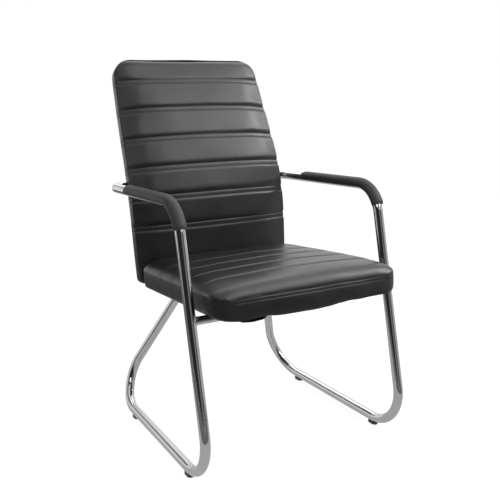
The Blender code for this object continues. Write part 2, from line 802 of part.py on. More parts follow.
def make_seat(seat, chair, looks, strap_space):
    channels = row(SEAT_FIRST_CHANNEL, CHANNEL_PITCH, SEAT_CHANNELS)
    corners = (SEAT_FRONT_CORNER, SEAT_REAR_CORNER)
    outer = seat_shape(0, 0, 0)
    outline = board_outline(outer, BOARD_INSET, 1)
    loose = board_outline(outer, BOARD_INSET - GAP, 1)

    mesh = slab("seat_board", outline, SEAT_BOARD_LOW, SEAT_BOARD_TOP, seat_place)
    board = add_object("seat_board", mesh, seat, looks["plywood"])
    faces = [((x, y, SEAT_BOARD_TOP), (0, 0, -1)) for _, x, y in seat_bolt_places()]
    cut_nut_pockets(board, faces, seat)

    mesh = slab("seat_dust_cover", outline, 0, DUST_COVER, seat_place)
    dust = add_object("seat_dust_cover", mesh, seat, looks["dust_cloth"])
    holes = [((x, y, -SEAT_BOARD), (x, y, SEAT_BOARD), BOLT_HOLE) for _, x, y in seat_bolt_places()]
    combine(dust, rods("dust_cover_holes", holes, seat))

    below = -2 * (SEAT_RIM_DROP + SEAT_HANG)
    mesh = slab("seat_board_space", loose, below, SEAT_BOARD_TOP + GAP, seat_place)
    board_space = hide_cutter(add_object("seat_board_space", mesh, seat))

    inner = seat_shape(COVER_SIDE + FOAM_GAP, COVER_TOP + FOAM_GAP, COVER_RIM + FOAM_GAP)
    mesh = cushion("seat_foam", inner, corners, [], seat_place, 3)
    foam = add_object("seat_foam", mesh, seat, looks["foam"])
    combine(foam, board_space)

    lining = seat_shape(COVER_SIDE, COVER_TOP, COVER_RIM)
    mesh = cushion("seat_foam_space", lining, corners, [], seat_place, 3)
    foam_space = hide_cutter(add_object("seat_foam_space", mesh, seat))
    mesh = cushion("seat_cover", outer, corners, channels, seat_place, 4)
    cover = add_object("seat_cover", mesh, seat, looks["leather"])
    for space in (foam_space, board_space, strap_space):
        combine(cover, space)
    y = front_leg_y(CROSS_Z)
    bar = [((-ARM_FRONT_SPAN, y, CROSS_Z), (ARM_FRONT_SPAN, y, CROSS_Z), CROSS_RADIUS + GAP)]
    combine(cover, rods("cross_tube_space", bar, chair, sides=32))

    head = SEAT_BEARER_Z - TUBE_RADIUS - GAP
    length = SEAT_BOARD_TOP - 3 * GAP - head
    for place, x, y in seat_bolt_places():
        make_bolt(f"seat_bolt_{place}", length, seat, (x, y, head), 0, looks["zinc"])
        make_tee_nut(f"seat_nut_{place}", seat, (x, y, SEAT_BOARD_TOP), 0, looks["zinc"])


# Back


def make_back(chair, looks, strap_space):
    channels = row(BACK_FIRST_CHANNEL, CHANNEL_PITCH, BACK_CHANNELS)
    corners = (BACK_FOOT_CORNER, BACK_TOP_CORNER)
    outer = back_shape(0, 0, 0)
    outline = board_outline(outer, BOARD_INSET, BACK_RUNS)
    loose = board_outline(outer, BOARD_INSET - GAP, BACK_RUNS)
    nuts = [(x, along) for _, x, along in (*strap_bolt_places(), *bar_bolt_places())]

    board = add_object(
        "back_board", slab("back_board", outline, -BACK_BOARD, 0, back_place), chair, looks["plywood"]
    )
    faces = []
    for x, along in nuts:
        face = back_point(x, along, 0)
        faces.append((face, back_point(x, along, 1) - face))
    cut_nut_pockets(board, faces, chair)

    mesh = slab("back_board_space", loose, -3 * BACK_REAR, GAP, back_place)
    board_space = hide_cutter(add_object("back_board_space", mesh, chair))

    mesh = slab("back_rear_panel", outline, -BACK_REAR, -BACK_BOARD - GAP, back_place, PANEL_EASE)
    panel = add_object("back_rear_panel", mesh, chair, looks["leather"])
    combine(panel, strap_space)
    strap_face = BACK_BOARD + GAP + STRAP_THICKNESS + GAP
    holes = []
    for _, x, along in strap_bolt_places():
        ends = [back_point(x, along, depth) for depth in (0, strap_face + BOLT_HEAD + GAP)]
        holes.append((*ends, BOLT_HEAD_RADIUS + GAP))
    for _, x, along in bar_bolt_places():
        ends = [back_point(x, along, depth) for depth in (0, 2 * BACK_REAR)]
        holes.append((*ends, BOLT_HOLE))
    combine(panel, rods("rear_panel_holes", holes, chair))

    inner = back_shape(COVER_SIDE + FOAM_GAP, COVER_TOP + FOAM_GAP, COVER_RIM + FOAM_GAP)
    mesh = cushion("back_foam", inner, corners, [], back_place, 3, foam_runs())
    foam = add_object("back_foam", mesh, chair, looks["foam"])
    combine(foam, board_space)
    combine(foam, strap_space)

    lining = back_shape(COVER_SIDE, COVER_TOP, COVER_RIM)
    mesh = cushion("back_foam_space", lining, corners, [], back_place, 3, foam_runs())
    foam_space = hide_cutter(add_object("back_foam_space", mesh, chair))
    mesh = cushion("back_cover", outer, corners, channels, back_place, 4)
    cover = add_object("back_cover", mesh, chair, looks["leather"])
    for space in (foam_space, board_space, strap_space):
        combine(cover, space)

    for place, x, along in strap_bolt_places():
        at = back_point(x, along, strap_face)
        tilt = back_bolt_tilt(along)
        make_bolt(f"strap_bolt_{place}", strap_face - 3 * GAP, chair, at, tilt, looks["zinc"])
        make_tee_nut(f"strap_nut_{place}", chair, back_point(x, along, 0), tilt, looks["zinc"])
    bar_face = BACK_REAR + GAP + 2 * TUBE_RADIUS + GAP
    for place, x, along in bar_bolt_places():
        at = back_point(x, along, bar_face)
        tilt = back_bolt_tilt(along)
        make_bolt(f"back_bolt_{place}", bar_face - 3 * GAP, chair, at, tilt, looks["zinc"])
        make_tee_nut(f"back_nut_{place}", chair, back_point(x, along, 0), tilt, looks["zinc"])


def foam_runs():
    """Where the back bends, the places that its foam needs a section."""
    first, last = FOAM_RUN_END, BACK_LENGTH - FOAM_RUN_END
    return row(first, (last - first) / FOAM_RUNS, FOAM_RUNS + 1)


def main():
    clear_scene()
    looks = {
        "chrome": finish("chrome", (0.80, 0.80, 0.81), 1.0, 0.08),
        "leather": finish("black_leather", (0.028, 0.028, 0.030), 0.0, 0.45),
        "pad_skin": finish("arm_pad_skin", (0.030, 0.030, 0.032), 0.0, 0.50),
        "foam": finish("foam", (0.80, 0.74, 0.52), 0.0, 0.90),
        "plywood": finish("plywood", (0.55, 0.38, 0.22), 0.0, 0.60),
        "dust_cloth": finish("dust_cloth", (0.020, 0.020, 0.020), 0.0, 0.90),
        "zinc": finish("zinc_plate", (0.62, 0.62, 0.60), 1.0, 0.35),
        "black_steel": finish("black_steel", (0.030, 0.030, 0.030), 0.2, 0.45),
        "plastic": finish("glide_plastic", (0.045, 0.045, 0.047), 0.0, 0.40),
    }
    chair = empty("chair", location=(0, -MIDDLE_BACK, 0))
    seat = empty("seat_plane", chair, seat_point(0, 0, 0), -SEAT_TILT)
    strap_space = add_object("strap_space", strap_mesh("strap_space", SIDES.values(), GAP), chair)
    hide_cutter(strap_space)

    for side in SIDES:
        make_side_tube(side, chair, looks["chrome"])
        make_arm_pad(side, chair, looks["pad_skin"])
        for end in ("front", "rear"):
            make_glide(side, end, chair, looks["plastic"])
    make_cross_tube(chair, looks["chrome"])
    make_joint_sleeve(chair, looks["zinc"])
    make_straps(chair, looks)
    make_seat(seat, chair, looks, strap_space)
    make_back(chair, looks, strap_space)


main()
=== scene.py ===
# %% [markdown]
# # A visitor chair, dressed around its solids
#
# The imported model gives every piece its size and place. This script gives the chair its skin:
# smooth chromed tubes, sewn leather cushions, moulded arm pads, stitches and welds. Each step first
# says what the real piece is, then how it is made here and why.
#
# We start by loading the frame.

# %% The frame
import math

import bmesh
import bpy
from mathutils import Matrix, Vector, noise


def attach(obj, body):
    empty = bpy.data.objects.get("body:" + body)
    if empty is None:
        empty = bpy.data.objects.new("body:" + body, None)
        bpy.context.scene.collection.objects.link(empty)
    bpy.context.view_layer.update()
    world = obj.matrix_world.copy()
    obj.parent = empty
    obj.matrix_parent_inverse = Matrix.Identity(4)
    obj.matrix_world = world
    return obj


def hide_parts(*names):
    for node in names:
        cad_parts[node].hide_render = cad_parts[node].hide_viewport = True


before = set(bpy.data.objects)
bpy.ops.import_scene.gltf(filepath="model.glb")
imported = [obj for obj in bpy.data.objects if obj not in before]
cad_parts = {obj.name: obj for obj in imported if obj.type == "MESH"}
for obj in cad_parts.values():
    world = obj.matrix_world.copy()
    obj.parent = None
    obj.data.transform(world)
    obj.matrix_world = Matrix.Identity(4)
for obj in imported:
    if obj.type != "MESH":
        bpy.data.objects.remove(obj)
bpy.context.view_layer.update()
print("the frame holds", len(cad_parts), "nodes")

# %% [markdown]
# ## Sizes
#
# The chair was measured with its zero on the floor below the sitter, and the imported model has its
# zero at the middle of its depth. One shift joins the two. The chair faces -Y, left is at +X.

# %% Sizes of the frame's tubes
MIDDLE_BACK = 0.0314
SIDES = {"left": 1, "right": -1}

TUBE_RADIUS = 0.0125
GLIDE_HEIGHT = 0.006
RUNNER_Z = GLIDE_HEIGHT + TUBE_RADIUS
ARM_REAR_SPAN = 0.274
ARM_FRONT_SPAN, ARM_FRONT_Y, ARM_FRONT_Z = 0.283, -0.190, 0.657
RUNNER_FRONT_SPAN, RUNNER_FRONT_Y = 0.2824, -0.3356
RUNNER_REAR_SPAN, RUNNER_REAR_Y = 0.2715, 0.310
BENDS = (0.046, 0.082, 0.099, 0.090, 0.060)
CROSS_RADIUS, CROSS_Z = 0.010, 0.3965
GAP = 0.0003
print("tube", 2 * TUBE_RADIUS, "m thick, runners at", RUNNER_Z, "m")

# %% Sizes of the seat and back
SEAT_TILT = math.radians(4.3)
STRAP_THICKNESS = 0.003
BEARER_SPAN, BEARER_REAR = 0.1325, 0.379
BEARER_Z = -(GAP + STRAP_THICKNESS + GAP + TUBE_RADIUS)
SEAT_FRONT = -0.082
SEAT_HEIGHT = 0.074

BACK_FOOT_Y, BACK_FOOT_Z = 0.1994, 0.375
BACK_FOOT_LEAN, BACK_TOP_LEAN = math.radians(5.5), math.radians(24.5)
BACK_FOOT_LENGTH, BACK_BEND, BACK_LENGTH = 0.1556, 0.632, 0.637
BACK_ARC = BACK_BEND * (BACK_TOP_LEAN - BACK_FOOT_LEAN)
BACK_PADDING, BACK_CROWN = 0.038, 0.008
BACK_BOARD, BACK_REAR = 0.011, 0.0198
BACK_BAR_ALONG = 0.2800

CHANNEL_PITCH, RIBBON = 0.0810, 0.012
print("the back bends over", round(BACK_ARC, 3), "m of its length")


# %% Places on the seat's tilted plane and on the back's bent one
def at(x, y, z):
    return Vector((x, y - MIDDLE_BACK, z))


def front_leg(z):
    """(half span, y) of the front leg's middle at a height."""
    share = (ARM_FRONT_Z - z) / (ARM_FRONT_Z - RUNNER_Z)
    span = ARM_FRONT_SPAN + share * (RUNNER_FRONT_SPAN - ARM_FRONT_SPAN)
    return span, ARM_FRONT_Y + share * (RUNNER_FRONT_Y - ARM_FRONT_Y)


def seat_place(across, along, height):
    """Zero is on top of the cross tube, along runs rearward, height is square to the seat."""
    cross = at(0, front_leg(CROSS_Z)[1], CROSS_Z)
    tilt = Matrix.Rotation(-SEAT_TILT, 3, "X")
    return cross + tilt @ Vector((across, along, CROSS_RADIUS + GAP + height))


def back_place(across, along, height):
    """Along runs up the board's front face, height stands forward of it."""
    foot = min(along, BACK_FOOT_LENGTH)
    top = max(along - BACK_FOOT_LENGTH - BACK_ARC, 0)
    lean = BACK_FOOT_LEAN + min(max(along - BACK_FOOT_LENGTH, 0), BACK_ARC) / BACK_BEND
    y = BACK_FOOT_Y + foot * math.sin(BACK_FOOT_LEAN) + top * math.sin(BACK_TOP_LEAN)
    z = BACK_FOOT_Z + foot * math.cos(BACK_FOOT_LEAN) + top * math.cos(BACK_TOP_LEAN)
    y += BACK_BEND * (math.cos(BACK_FOOT_LEAN) - math.cos(lean))
    z += BACK_BEND * (math.sin(lean) - math.sin(BACK_FOOT_LEAN))
    return at(across, y - height * math.cos(lean), z + height * math.sin(lean))


print("seat plane's zero", tuple(round(c, 4) for c in seat_place(0, 0, 0)))

# %% [markdown]
# ## Camera
#
# The photograph was taken from the sitter's right front, a little above the arms. The place and the
# focal length were found by fitting the frame's straight tubes to it.

# %% Camera
FRAME_SIDE, SENSOR = 500, 36
CAMERA_FOCAL = 743.6668  # pixels, in a frame of 500 by 500
CAMERA_YAW, CAMERA_PITCH, CAMERA_ROLL = -29.5116, 12.6657, -0.3959
CAMERA_PLACE = (-0.9539, -1.7087, 0.9217)


def into_scene(name, data):
    """An object around a mesh, a lamp or a lens, linked to the scene."""
    made = bpy.data.objects.new(name, data)
    bpy.context.scene.collection.objects.link(made)
    return made


def make_camera():
    yaw, pitch, roll = (math.radians(a) for a in (CAMERA_YAW, CAMERA_PITCH, CAMERA_ROLL))
    level = Vector((-math.sin(yaw), math.cos(yaw), 0))
    ahead = level * math.cos(pitch) - Vector((0, 0, math.sin(pitch)))
    right = ahead.cross(Vector((0, 0, 1))).normalized()
    up = right.cross(ahead)
    right, up = (
        right * math.cos(roll) + up * math.sin(roll),
        up * math.cos(roll) - right * math.sin(roll),
    )
    lens = bpy.data.cameras.new("camera")
    lens.sensor_width = SENSOR
    lens.lens = SENSOR * CAMERA_FOCAL / FRAME_SIDE
    camera = into_scene("camera", lens)
    turn = Matrix((right, up, -ahead)).transposed().to_4x4()
    camera.matrix_world = Matrix.Translation(at(*CAMERA_PLACE)) @ turn
    bpy.context.scene.camera = camera
    print("lens", round(lens.lens, 2), "mm")


make_camera()

# %% [markdown]
# ## Shader groups
#
# Several finishes share an effect: the pebbled grain of coated leather is also on the moulded pads,
# and smudges that change the gloss are on everything. Each effect is a node group that is made once
# and placed in a material with its own numbers.

# %% Helpers for node trees
def new_group(name, inputs, outputs):
    """A shader node group with float inputs {name: default} and float outputs."""
    group = bpy.data.node_groups.new(name, "ShaderNodeTree")
    for label, default in inputs.items():
        socket = group.interface.new_socket(label, in_out="INPUT", socket_type="NodeSocketFloat")
        socket.default_value = default
    for label in outputs:
        group.interface.new_socket(label, in_out="OUTPUT", socket_type="NodeSocketFloat")
    return group, group.nodes.new("NodeGroupInput"), group.nodes.new("NodeGroupOutput")


def fill(tree, target, values):
    """Sets inputs, by label or number, to a value or to another node's socket."""
    for label, value in values.items():
        if isinstance(value, bpy.types.NodeSocket):
            tree.links.new(value, target.inputs[label])
        else:
            target.inputs[label].default_value = value


def node(tree, kind, values=None, **settings):
    made = tree.nodes.new(kind)
    for key, value in settings.items():
        setattr(made, key, value)
    fill(tree, made, values or {})
    return made


def math_node(tree, operation, first, second):
    return node(tree, "ShaderNodeMath", {0: first, 1: second}, operation=operation).outputs[0]


def ramp(tree, factor, low, high, to_low=0.0, to_high=1.0):
    values = {"Value": factor, "From Min": low, "From Max": high, "To Min": to_low, "To Max": to_high}
    return node(tree, "ShaderNodeMapRange", values, clamp=True).outputs["Result"]


def blend(tree, factor, first, second, kind="MIX"):
    values = {"Fac": factor, 1: first, 2: second}
    return node(tree, "ShaderNodeMixRGB", values, blend_type=kind).outputs[0]


def own_place(tree):
    """The piece's own coordinates, in metres, so that a texture has one scale everywhere."""
    return node(tree, "ShaderNodeTexCoord").outputs["Object"]


def cloud(tree, scale, detail=2):
    return node(tree, "ShaderNodeTexNoise", {"Vector": own_place(tree), "Scale": scale, "Detail": detail})


def grey(value):
    return (value, value, value, 1)


# %% Grain: pebbles with creases between them, as on coated leather
GRAIN_WARP, GRAIN_WARP_SCALE = 0.0012, 260
PEBBLE_EDGE = 0.22
FINE_GRAIN, FINE_GRAIN_SCALE = 0.35, 1900


def make_grain_group():
    group, given, out = new_group("grain", {"Scale": 700.0}, ["Height", "CreaseShade"])
    warp = cloud(group, GRAIN_WARP_SCALE).outputs["Color"]
    warped = blend(group, GRAIN_WARP, own_place(group), warp, "LINEAR_LIGHT")
    values = {"Vector": warped, "Scale": given.outputs["Scale"]}
    cells = node(group, "ShaderNodeTexVoronoi", values, feature="DISTANCE_TO_EDGE")
    pebble = ramp(group, cells.outputs["Distance"], 0.0, PEBBLE_EDGE)
    fine = math_node(group, "MULTIPLY", cloud(group, FINE_GRAIN_SCALE).outputs["Fac"], FINE_GRAIN)
    height = math_node(group, "ADD", pebble, fine)
    # The second output marks the grain's creases, where the finishes paint shade into the colour.
    fill(group, out, {"Height": height, "CreaseShade": math_node(group, "SUBTRACT", 1.0, pebble)})
    return group


GRAIN = make_grain_group()
print("group:", GRAIN.name, len(GRAIN.nodes), "nodes")


# %% Smudge: slow patches for gloss and colour
def make_smudge_group():
    group, given, out = new_group("smudge", {"Scale": 9.0}, ["Patch"])
    patches = cloud(group, given.outputs["Scale"], 5).outputs["Fac"]
    fill(group, out, {"Patch": ramp(group, patches, 0.3, 0.7)})
    return group


SMUDGE = make_smudge_group()
print("group:", SMUDGE.name, len(SMUDGE.nodes), "nodes")

# %% [markdown]
# ## Finishes
#
# Every finish follows one pattern: a colour that drifts a little, a gloss that drifts with it, and a
# bump from its own texture. What is the same all over is set on the shader's own sockets.

# %% The pattern that the finishes follow
def start_finish(name, metallic=0.0):
    material = bpy.data.materials.new(name)
    material.use_nodes = True
    tree = material.node_tree
    shader = tree.nodes["Principled BSDF"]
    shader.inputs["Metallic"].default_value = metallic
    return material, tree, shader


def drift(tree, shader, dark, light, smooth, rough, scale):
    """Colour and roughness that wander between two values in slow patches."""
    patch = node(tree, "ShaderNodeGroup", {"Scale": scale}, node_tree=SMUDGE).outputs["Patch"]
    colour = blend(tree, patch, (*dark, 1), (*light, 1))
    gloss = ramp(tree, patch, 0.0, 1.0, smooth, rough)
    fill(tree, shader, {"Base Color": colour, "Roughness": gloss})
    return colour, gloss


def bump(tree, shader, height, distance, strength=1.0):
    made = node(tree, "ShaderNodeBump", {"Height": height, "Distance": distance, "Strength": strength})
    fill(tree, shader, {"Normal": made.outputs["Normal"]})


# %% Leather and the pads' skin
# Painted shade: how much darker the colour is in the grain's creases and in the sewn folds; and how much
# rougher a seam is.
CREASE_PAINTED_SHADE, SEAM_PAINTED_SHADE, SEAM_DULLING = 0.72, 0.25, 0.35


def grained_finish(name, dark, light, smooth, rough, grain_scale, depth):
    """Grained skin. The mesh's "seam" values dull it and paint shade into it where thread pulls it into a
    fold.
    """
    material, tree, shader = start_finish(name)
    colour, gloss = drift(tree, shader, dark, light, smooth, rough, 7.0)
    grain = node(tree, "ShaderNodeGroup", {"Scale": grain_scale}, node_tree=GRAIN)
    seam = node(tree, "ShaderNodeAttribute", attribute_name="seam").outputs["Fac"]
    # Painted shade: the grain's creases are darkened in the colour itself.
    colour = blend(tree, grain.outputs["CreaseShade"], colour, grey(CREASE_PAINTED_SHADE), "MULTIPLY")
    # Painted shade: near the sewn lines the colour is darkened as if the fold lay in shadow.
    colour = blend(tree, seam, colour, grey(SEAM_PAINTED_SHADE), "MULTIPLY")
    gloss = math_node(tree, "ADD", gloss, math_node(tree, "MULTIPLY", seam, SEAM_DULLING))
    fill(tree, shader, {"Base Color": colour, "Roughness": gloss})
    bump(tree, shader, grain.outputs["Height"], depth)
    return material


LEATHER = grained_finish(
    "black_leather", (0.009, 0.009, 0.0095), (0.013, 0.013, 0.013), 0.30, 0.37, 620, 0.00005
)
PAD_SKIN = grained_finish(
    "pad_skin", (0.030, 0.030, 0.032), (0.038, 0.038, 0.041), 0.56, 0.64, 900, 0.00006
)
print("finishes:", LEATHER.name, PAD_SKIN.name)


# %% Chrome plate: bright, with faint smudges and hair-fine polishing marks
def chrome_finish():
    material, tree, shader = start_finish("chrome_plate", metallic=1.0)
    drift(tree, shader, (0.52, 0.525, 0.53), (0.58, 0.585, 0.59), 0.04, 0.09, 14.0)
    bump(tree, shader, cloud(tree, 480, 3).outputs["Fac"], 0.00001, 0.6)
    return material


CHROME = chrome_finish()
print("finish:", CHROME.name)


# %% Thread, plastic, zinc and painted steel, cloth and wood
def speckled_finish(name, dark, light, smooth, rough, scale, depth, metallic=0.0):
    """A finish whose bump is a fine noise: thread, moulded plastic, plated and powder-coated steel."""
    material, tree, shader = start_finish(name, metallic)
    drift(tree, shader, dark, light, smooth, rough, 30.0)
    bump(tree, shader, cloud(tree, scale).outputs["Fac"], depth)
    return material


def banded_finish(name, dark, light, rough, scale, direction, depth, distortion):
    """A finish of fine bands: cloth's threads or the layers of plywood."""
    material, tree, shader = start_finish(name)
    values = {"Vector": own_place(tree), "Scale": scale, "Distortion": distortion}
    wave = node(tree, "ShaderNodeTexWave", values, wave_type="BANDS", bands_direction=direction)
    bands = wave.outputs["Fac"]
    colour = blend(tree, bands, (*dark, 1), (*light, 1))
    fill(tree, shader, {"Base Color": colour, "Roughness": rough})
    bump(tree, shader, bands, depth)
    return material


THREAD = speckled_finish(
    "thread", (0.006, 0.006, 0.0065), (0.014, 0.014, 0.015), 0.6, 0.75, 1500, 0.0001
)
GLIDE_PLASTIC = speckled_finish(
    "glide_plastic", (0.03, 0.03, 0.032), (0.05, 0.05, 0.05), 0.4, 0.5, 900, 0.00005
)
ZINC = speckled_finish(
    "zinc_plate", (0.42, 0.42, 0.41), (0.60, 0.60, 0.57), 0.25, 0.4, 500, 0.00003, 1.0
)
BLACK_STEEL = speckled_finish(
    "powder_coat", (0.016, 0.016, 0.017), (0.03, 0.03, 0.03), 0.4, 0.55, 1200, 0.00008
)
DUST_CLOTH = banded_finish(
    "dust_cloth", (0.008, 0.008, 0.008), (0.022, 0.022, 0.022), 0.9, 260, "X", 0.0001, 2.0
)
PLYWOOD = banded_finish("plywood", (0.32, 0.20, 0.10), (0.52, 0.36, 0.20), 0.6, 90, "Z", 0.00005, 1.5)
print("finishes in all:", len(bpy.data.materials))


# %% [markdown]
# ## Bent tubes
#
# Each side of the frame is one 25 mm tube, bent on a mandrel so that every bend is a true arc. The
# route is a list of corners with a radius for each. A ring of points is carried along it by
# parallel transport, which turns the ring only as much as the tube turns, so that it never twists.

# %% Routes with arcs at their corners
ARC_STEP = math.radians(3)


def rounded_route(corners, radii):
    corners = [Vector(corner) for corner in corners]
    route = [corners[0]]
    for before, corner, after, radius in zip(corners, corners[1:], corners[2:], radii):
        inward, outward = (before - corner).normalized(), (after - corner).normalized()
        turn = math.pi - inward.angle(outward)
        start = corner + inward * radius * math.tan(turn / 2)
        middle = corner + (inward + outward).normalized() * radius / math.cos(turn / 2)
        axis = (start - middle).cross(-inward).normalized()
        steps = max(3, round(turn / ARC_STEP))
        for step in range(steps + 1):
            route.append(middle + Matrix.Rotation(turn * step / steps, 3, axis) @ (start - middle))
    route.append(corners[-1])
    return route


def directions(route, closed=False):
    """The route's direction at each of its points."""
    count = len(route)
    found = []
    for k, point in enumerate(route):
        before = route[k - 1] if k or closed else point
        after = route[(k + 1) % count] if k + 1 < count or closed else point
        found.append((after - before).normalized())
    return found


def square_to(along, side):
    return (side - along * side.dot(along)).normalized()


def frames_along(route, side, closed=False):
    """(point, side, up) at each point, carried along without twist."""
    found = []
    for point, along in zip(route, directions(route, closed)):
        side = square_to(along, side)
        found.append((point, side, side.cross(along).normalized()))
    return found


# %% From loops of points to an object
SHARP_ANGLE = math.radians(40)


def weave(bm, rows, rings=False):
    """Quads between neighbouring rows of vertices. In rings, a row's last vertex joins its first."""
    for near, far in zip(rows, rows[1:]):
        for k in range(len(near) if rings else len(near) - 1):
            j = (k + 1) % len(near)
            bm.faces.new((near[k], near[j], far[j], far[k]))


def skin_loops(bm, loops, closed=False):
    """A tube's skin. It closes on itself, or has a cap at each end."""
    rows = [[bm.verts.new(point) for point in loop] for loop in loops]
    weave(bm, rows + rows[:1] if closed else rows, rings=True)
    if not closed:
        bm.faces.new(rows[0])
        bm.faces.new(rows[-1])


def mesh_from(name, bm):
    mesh = bpy.data.meshes.new(name)
    bm.to_mesh(mesh)
    bm.free()
    return mesh


def dress(piece):
    """Makes an object a piece of the chair."""
    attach(piece, "root")
    return piece


def add_piece(name, bm, material):
    """Puts a mesh into the scene as a piece of the chair, smooth but for its real edges."""
    bmesh.ops.recalc_face_normals(bm, faces=bm.faces)
    mesh = mesh_from(name, bm)
    mesh.shade_smooth()
    mesh.set_sharp_from_angle(angle=SHARP_ANGLE)
    mesh.materials.append(material)
    return dress(into_scene(name, mesh))


def circle(point, side, up, radius, sides):
    spokes = (2 * math.pi * k / sides for k in range(sides))
    return [point + (side * math.cos(a) + up * math.sin(a)) * radius for a in spokes]


# %% The side tubes and the cross tube
TUBE_SIDES = 40
FIRST_SIDE = Vector((0.31, 0.2, 1))  # along none of the tubes' first runs


def sweep_tube(name, route, radius):
    bm = bmesh.new()
    skin_loops(bm, [circle(*place, radius, TUBE_SIDES) for place in frames_along(route, FIRST_SIDE)])
    return add_piece(name, bm, CHROME)


def side_corners(side):
    sign = SIDES[side]
    bar = back_place(0, BACK_BAR_ALONG, -(BACK_REAR + GAP + TUBE_RADIUS))
    corners = [
        Vector((GAP / 2, bar.y, bar.z)),
        Vector((ARM_REAR_SPAN, bar.y, bar.z)),
        at(ARM_FRONT_SPAN, ARM_FRONT_Y, ARM_FRONT_Z),
        at(RUNNER_FRONT_SPAN, RUNNER_FRONT_Y, RUNNER_Z),
        at(RUNNER_REAR_SPAN, RUNNER_REAR_Y, RUNNER_Z),
        seat_place(BEARER_SPAN, BEARER_REAR, BEARER_Z),
        seat_place(BEARER_SPAN, TUBE_RADIUS, BEARER_Z),
    ]
    return [Vector((sign * c.x, c.y, c.z)) for c in corners]


def make_frame_tubes():
    for side in SIDES:
        route = rounded_route(side_corners(side), BENDS)
        tube = sweep_tube(side + "_chrome_tube", route, TUBE_RADIUS)
        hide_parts(side + "_side_tube")
        print(side, "tube:", len(route), "stations")
    span, y = front_leg(CROSS_Z)
    ends = [at(-span, y, CROSS_Z), at(span, y, CROSS_Z)]
    cross = sweep_tube("chrome_cross_tube", ends, CROSS_RADIUS)
    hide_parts("front_cross_tube")
    print("cross tube:", round(2 * span, 3), "m long")


make_frame_tubes()

# %% [markdown]
# ## Welds
#
# The cross tube meets the front legs in a fillet weld, plated over with the rest. The bead follows
# the curve in which the two tubes cross, with the small ripples that a torch leaves.

# %% Weld beads
BEAD_RADIUS, BEAD_SIDES, BEAD_STEPS = 0.0017, 10, 64
BEAD_RIPPLES, BEAD_RIPPLE = 22, 0.16


def weld_curve(sign):
    """Where the cross tube's skin meets the front leg's, as a closed loop of points."""
    span, y = front_leg(CROSS_Z)
    above, below = front_leg(CROSS_Z + CROSS_RADIUS), front_leg(CROSS_Z - CROSS_RADIUS)
    points = []
    for k in range(BEAD_STEPS):
        angle = 2 * math.pi * k / BEAD_STEPS
        dy, dz = CROSS_RADIUS * math.cos(angle), CROSS_RADIUS * math.sin(angle)
        drawn = (above[1] - below[1]) * dz / (2 * CROSS_RADIUS)
        inward = math.sqrt(TUBE_RADIUS**2 - min((dy - drawn) ** 2, (0.98 * TUBE_RADIUS) ** 2))
        points.append(at(sign * (span - inward), y + dy, CROSS_Z + dz))
    return points


def make_welds():
    for side, sign in SIDES.items():
        loops = []
        for k, place in enumerate(frames_along(weld_curve(sign), Vector((1, 0, 0)), closed=True)):
            swell = 1 + BEAD_RIPPLE * math.cos(2 * math.pi * k * BEAD_RIPPLES / BEAD_STEPS)
            loops.append(circle(*place, BEAD_RADIUS * swell, BEAD_SIDES))
        bm = bmesh.new()
        skin_loops(bm, loops, closed=True)
        add_piece(side + "_weld_bead", bm, CHROME)
    print("welds:", len(SIDES))


make_welds()

# %% [markdown]
# ## Arm pads
#
# Each pad is a soft moulded saddle, snapped over the arm and glued. Chrome shows below its lips. Its
# rear tip thins out, its front end is cut square, and a fine groove runs just above each lip.
# A sweep along the arm's own route keeps it on the tube through the bend.

# %% Arm pads
PAD_THICKNESS, PAD_LIP, PAD_THINNEST, PAD_GAP = 0.0052, 0.0016, 0.0004, 0.0001
PAD_WRAP, PAD_RISE = math.radians(19), math.radians(52)
PAD_GROOVE, PAD_GROOVE_AT, PAD_GROOVE_WIDTH = 0.0006, math.radians(15), math.radians(3)
PAD_REAR_Y = 0.140
PAD_TIP, PAD_TIP_SHARE = 0.020, 0.10
PAD_END, PAD_END_SHARE = 0.002, 0.72
PAD_ARC_COVERED = {"left": 0.86, "right": 0.92}
PAD_SECTION_STEPS, PAD_STRAIGHT_STEPS = 28, 36


def pad_route(side):
    """The arm's middle from the pad's rear tip to its front end."""
    _, rear, front, below = side_corners(side)[:4]
    ahead = (front - rear).normalized()
    start = rear + ahead * (rear.y - (PAD_REAR_Y - MIDDLE_BACK)) / -ahead.y
    arc = rounded_route([start, front, below], [BENDS[1]])[1:-1]
    straight = [start.lerp(arc[0], k / PAD_STRAIGHT_STEPS) for k in range(PAD_STRAIGHT_STEPS)]
    return straight + arc[: round(len(arc) * PAD_ARC_COVERED[side])]


def pad_thickness(angle, fullness):
    """The pad is thickest on top and thins to its lips, with a groove above each."""
    from_lip = min(angle + PAD_WRAP, math.pi + PAD_WRAP - angle)
    rise = min(1.0, from_lip / PAD_RISE)
    thick = PAD_LIP + (PAD_THICKNESS - PAD_LIP) * math.sin(rise * math.pi / 2) ** 0.8
    groove = PAD_GROOVE * math.exp(-(((from_lip - PAD_GROOVE_AT) / PAD_GROOVE_WIDTH) ** 2))
    return max(PAD_THINNEST, (thick - groove) * fullness)


def pad_loop(point, along, fullness):
    side = square_to(along, Vector((1, 0, 0)))
    up = along.cross(side).normalized()
    sweep = math.pi + 2 * PAD_WRAP
    inner = TUBE_RADIUS + PAD_GAP
    angles = [sweep * k / PAD_SECTION_STEPS - PAD_WRAP for k in range(PAD_SECTION_STEPS + 1)]
    outline = [(a, inner + pad_thickness(a, fullness)) for a in angles]
    outline += [(a, inner) for a in reversed(angles)]
    return [point + (side * math.cos(a) + up * math.sin(a)) * radius for a, radius in outline]


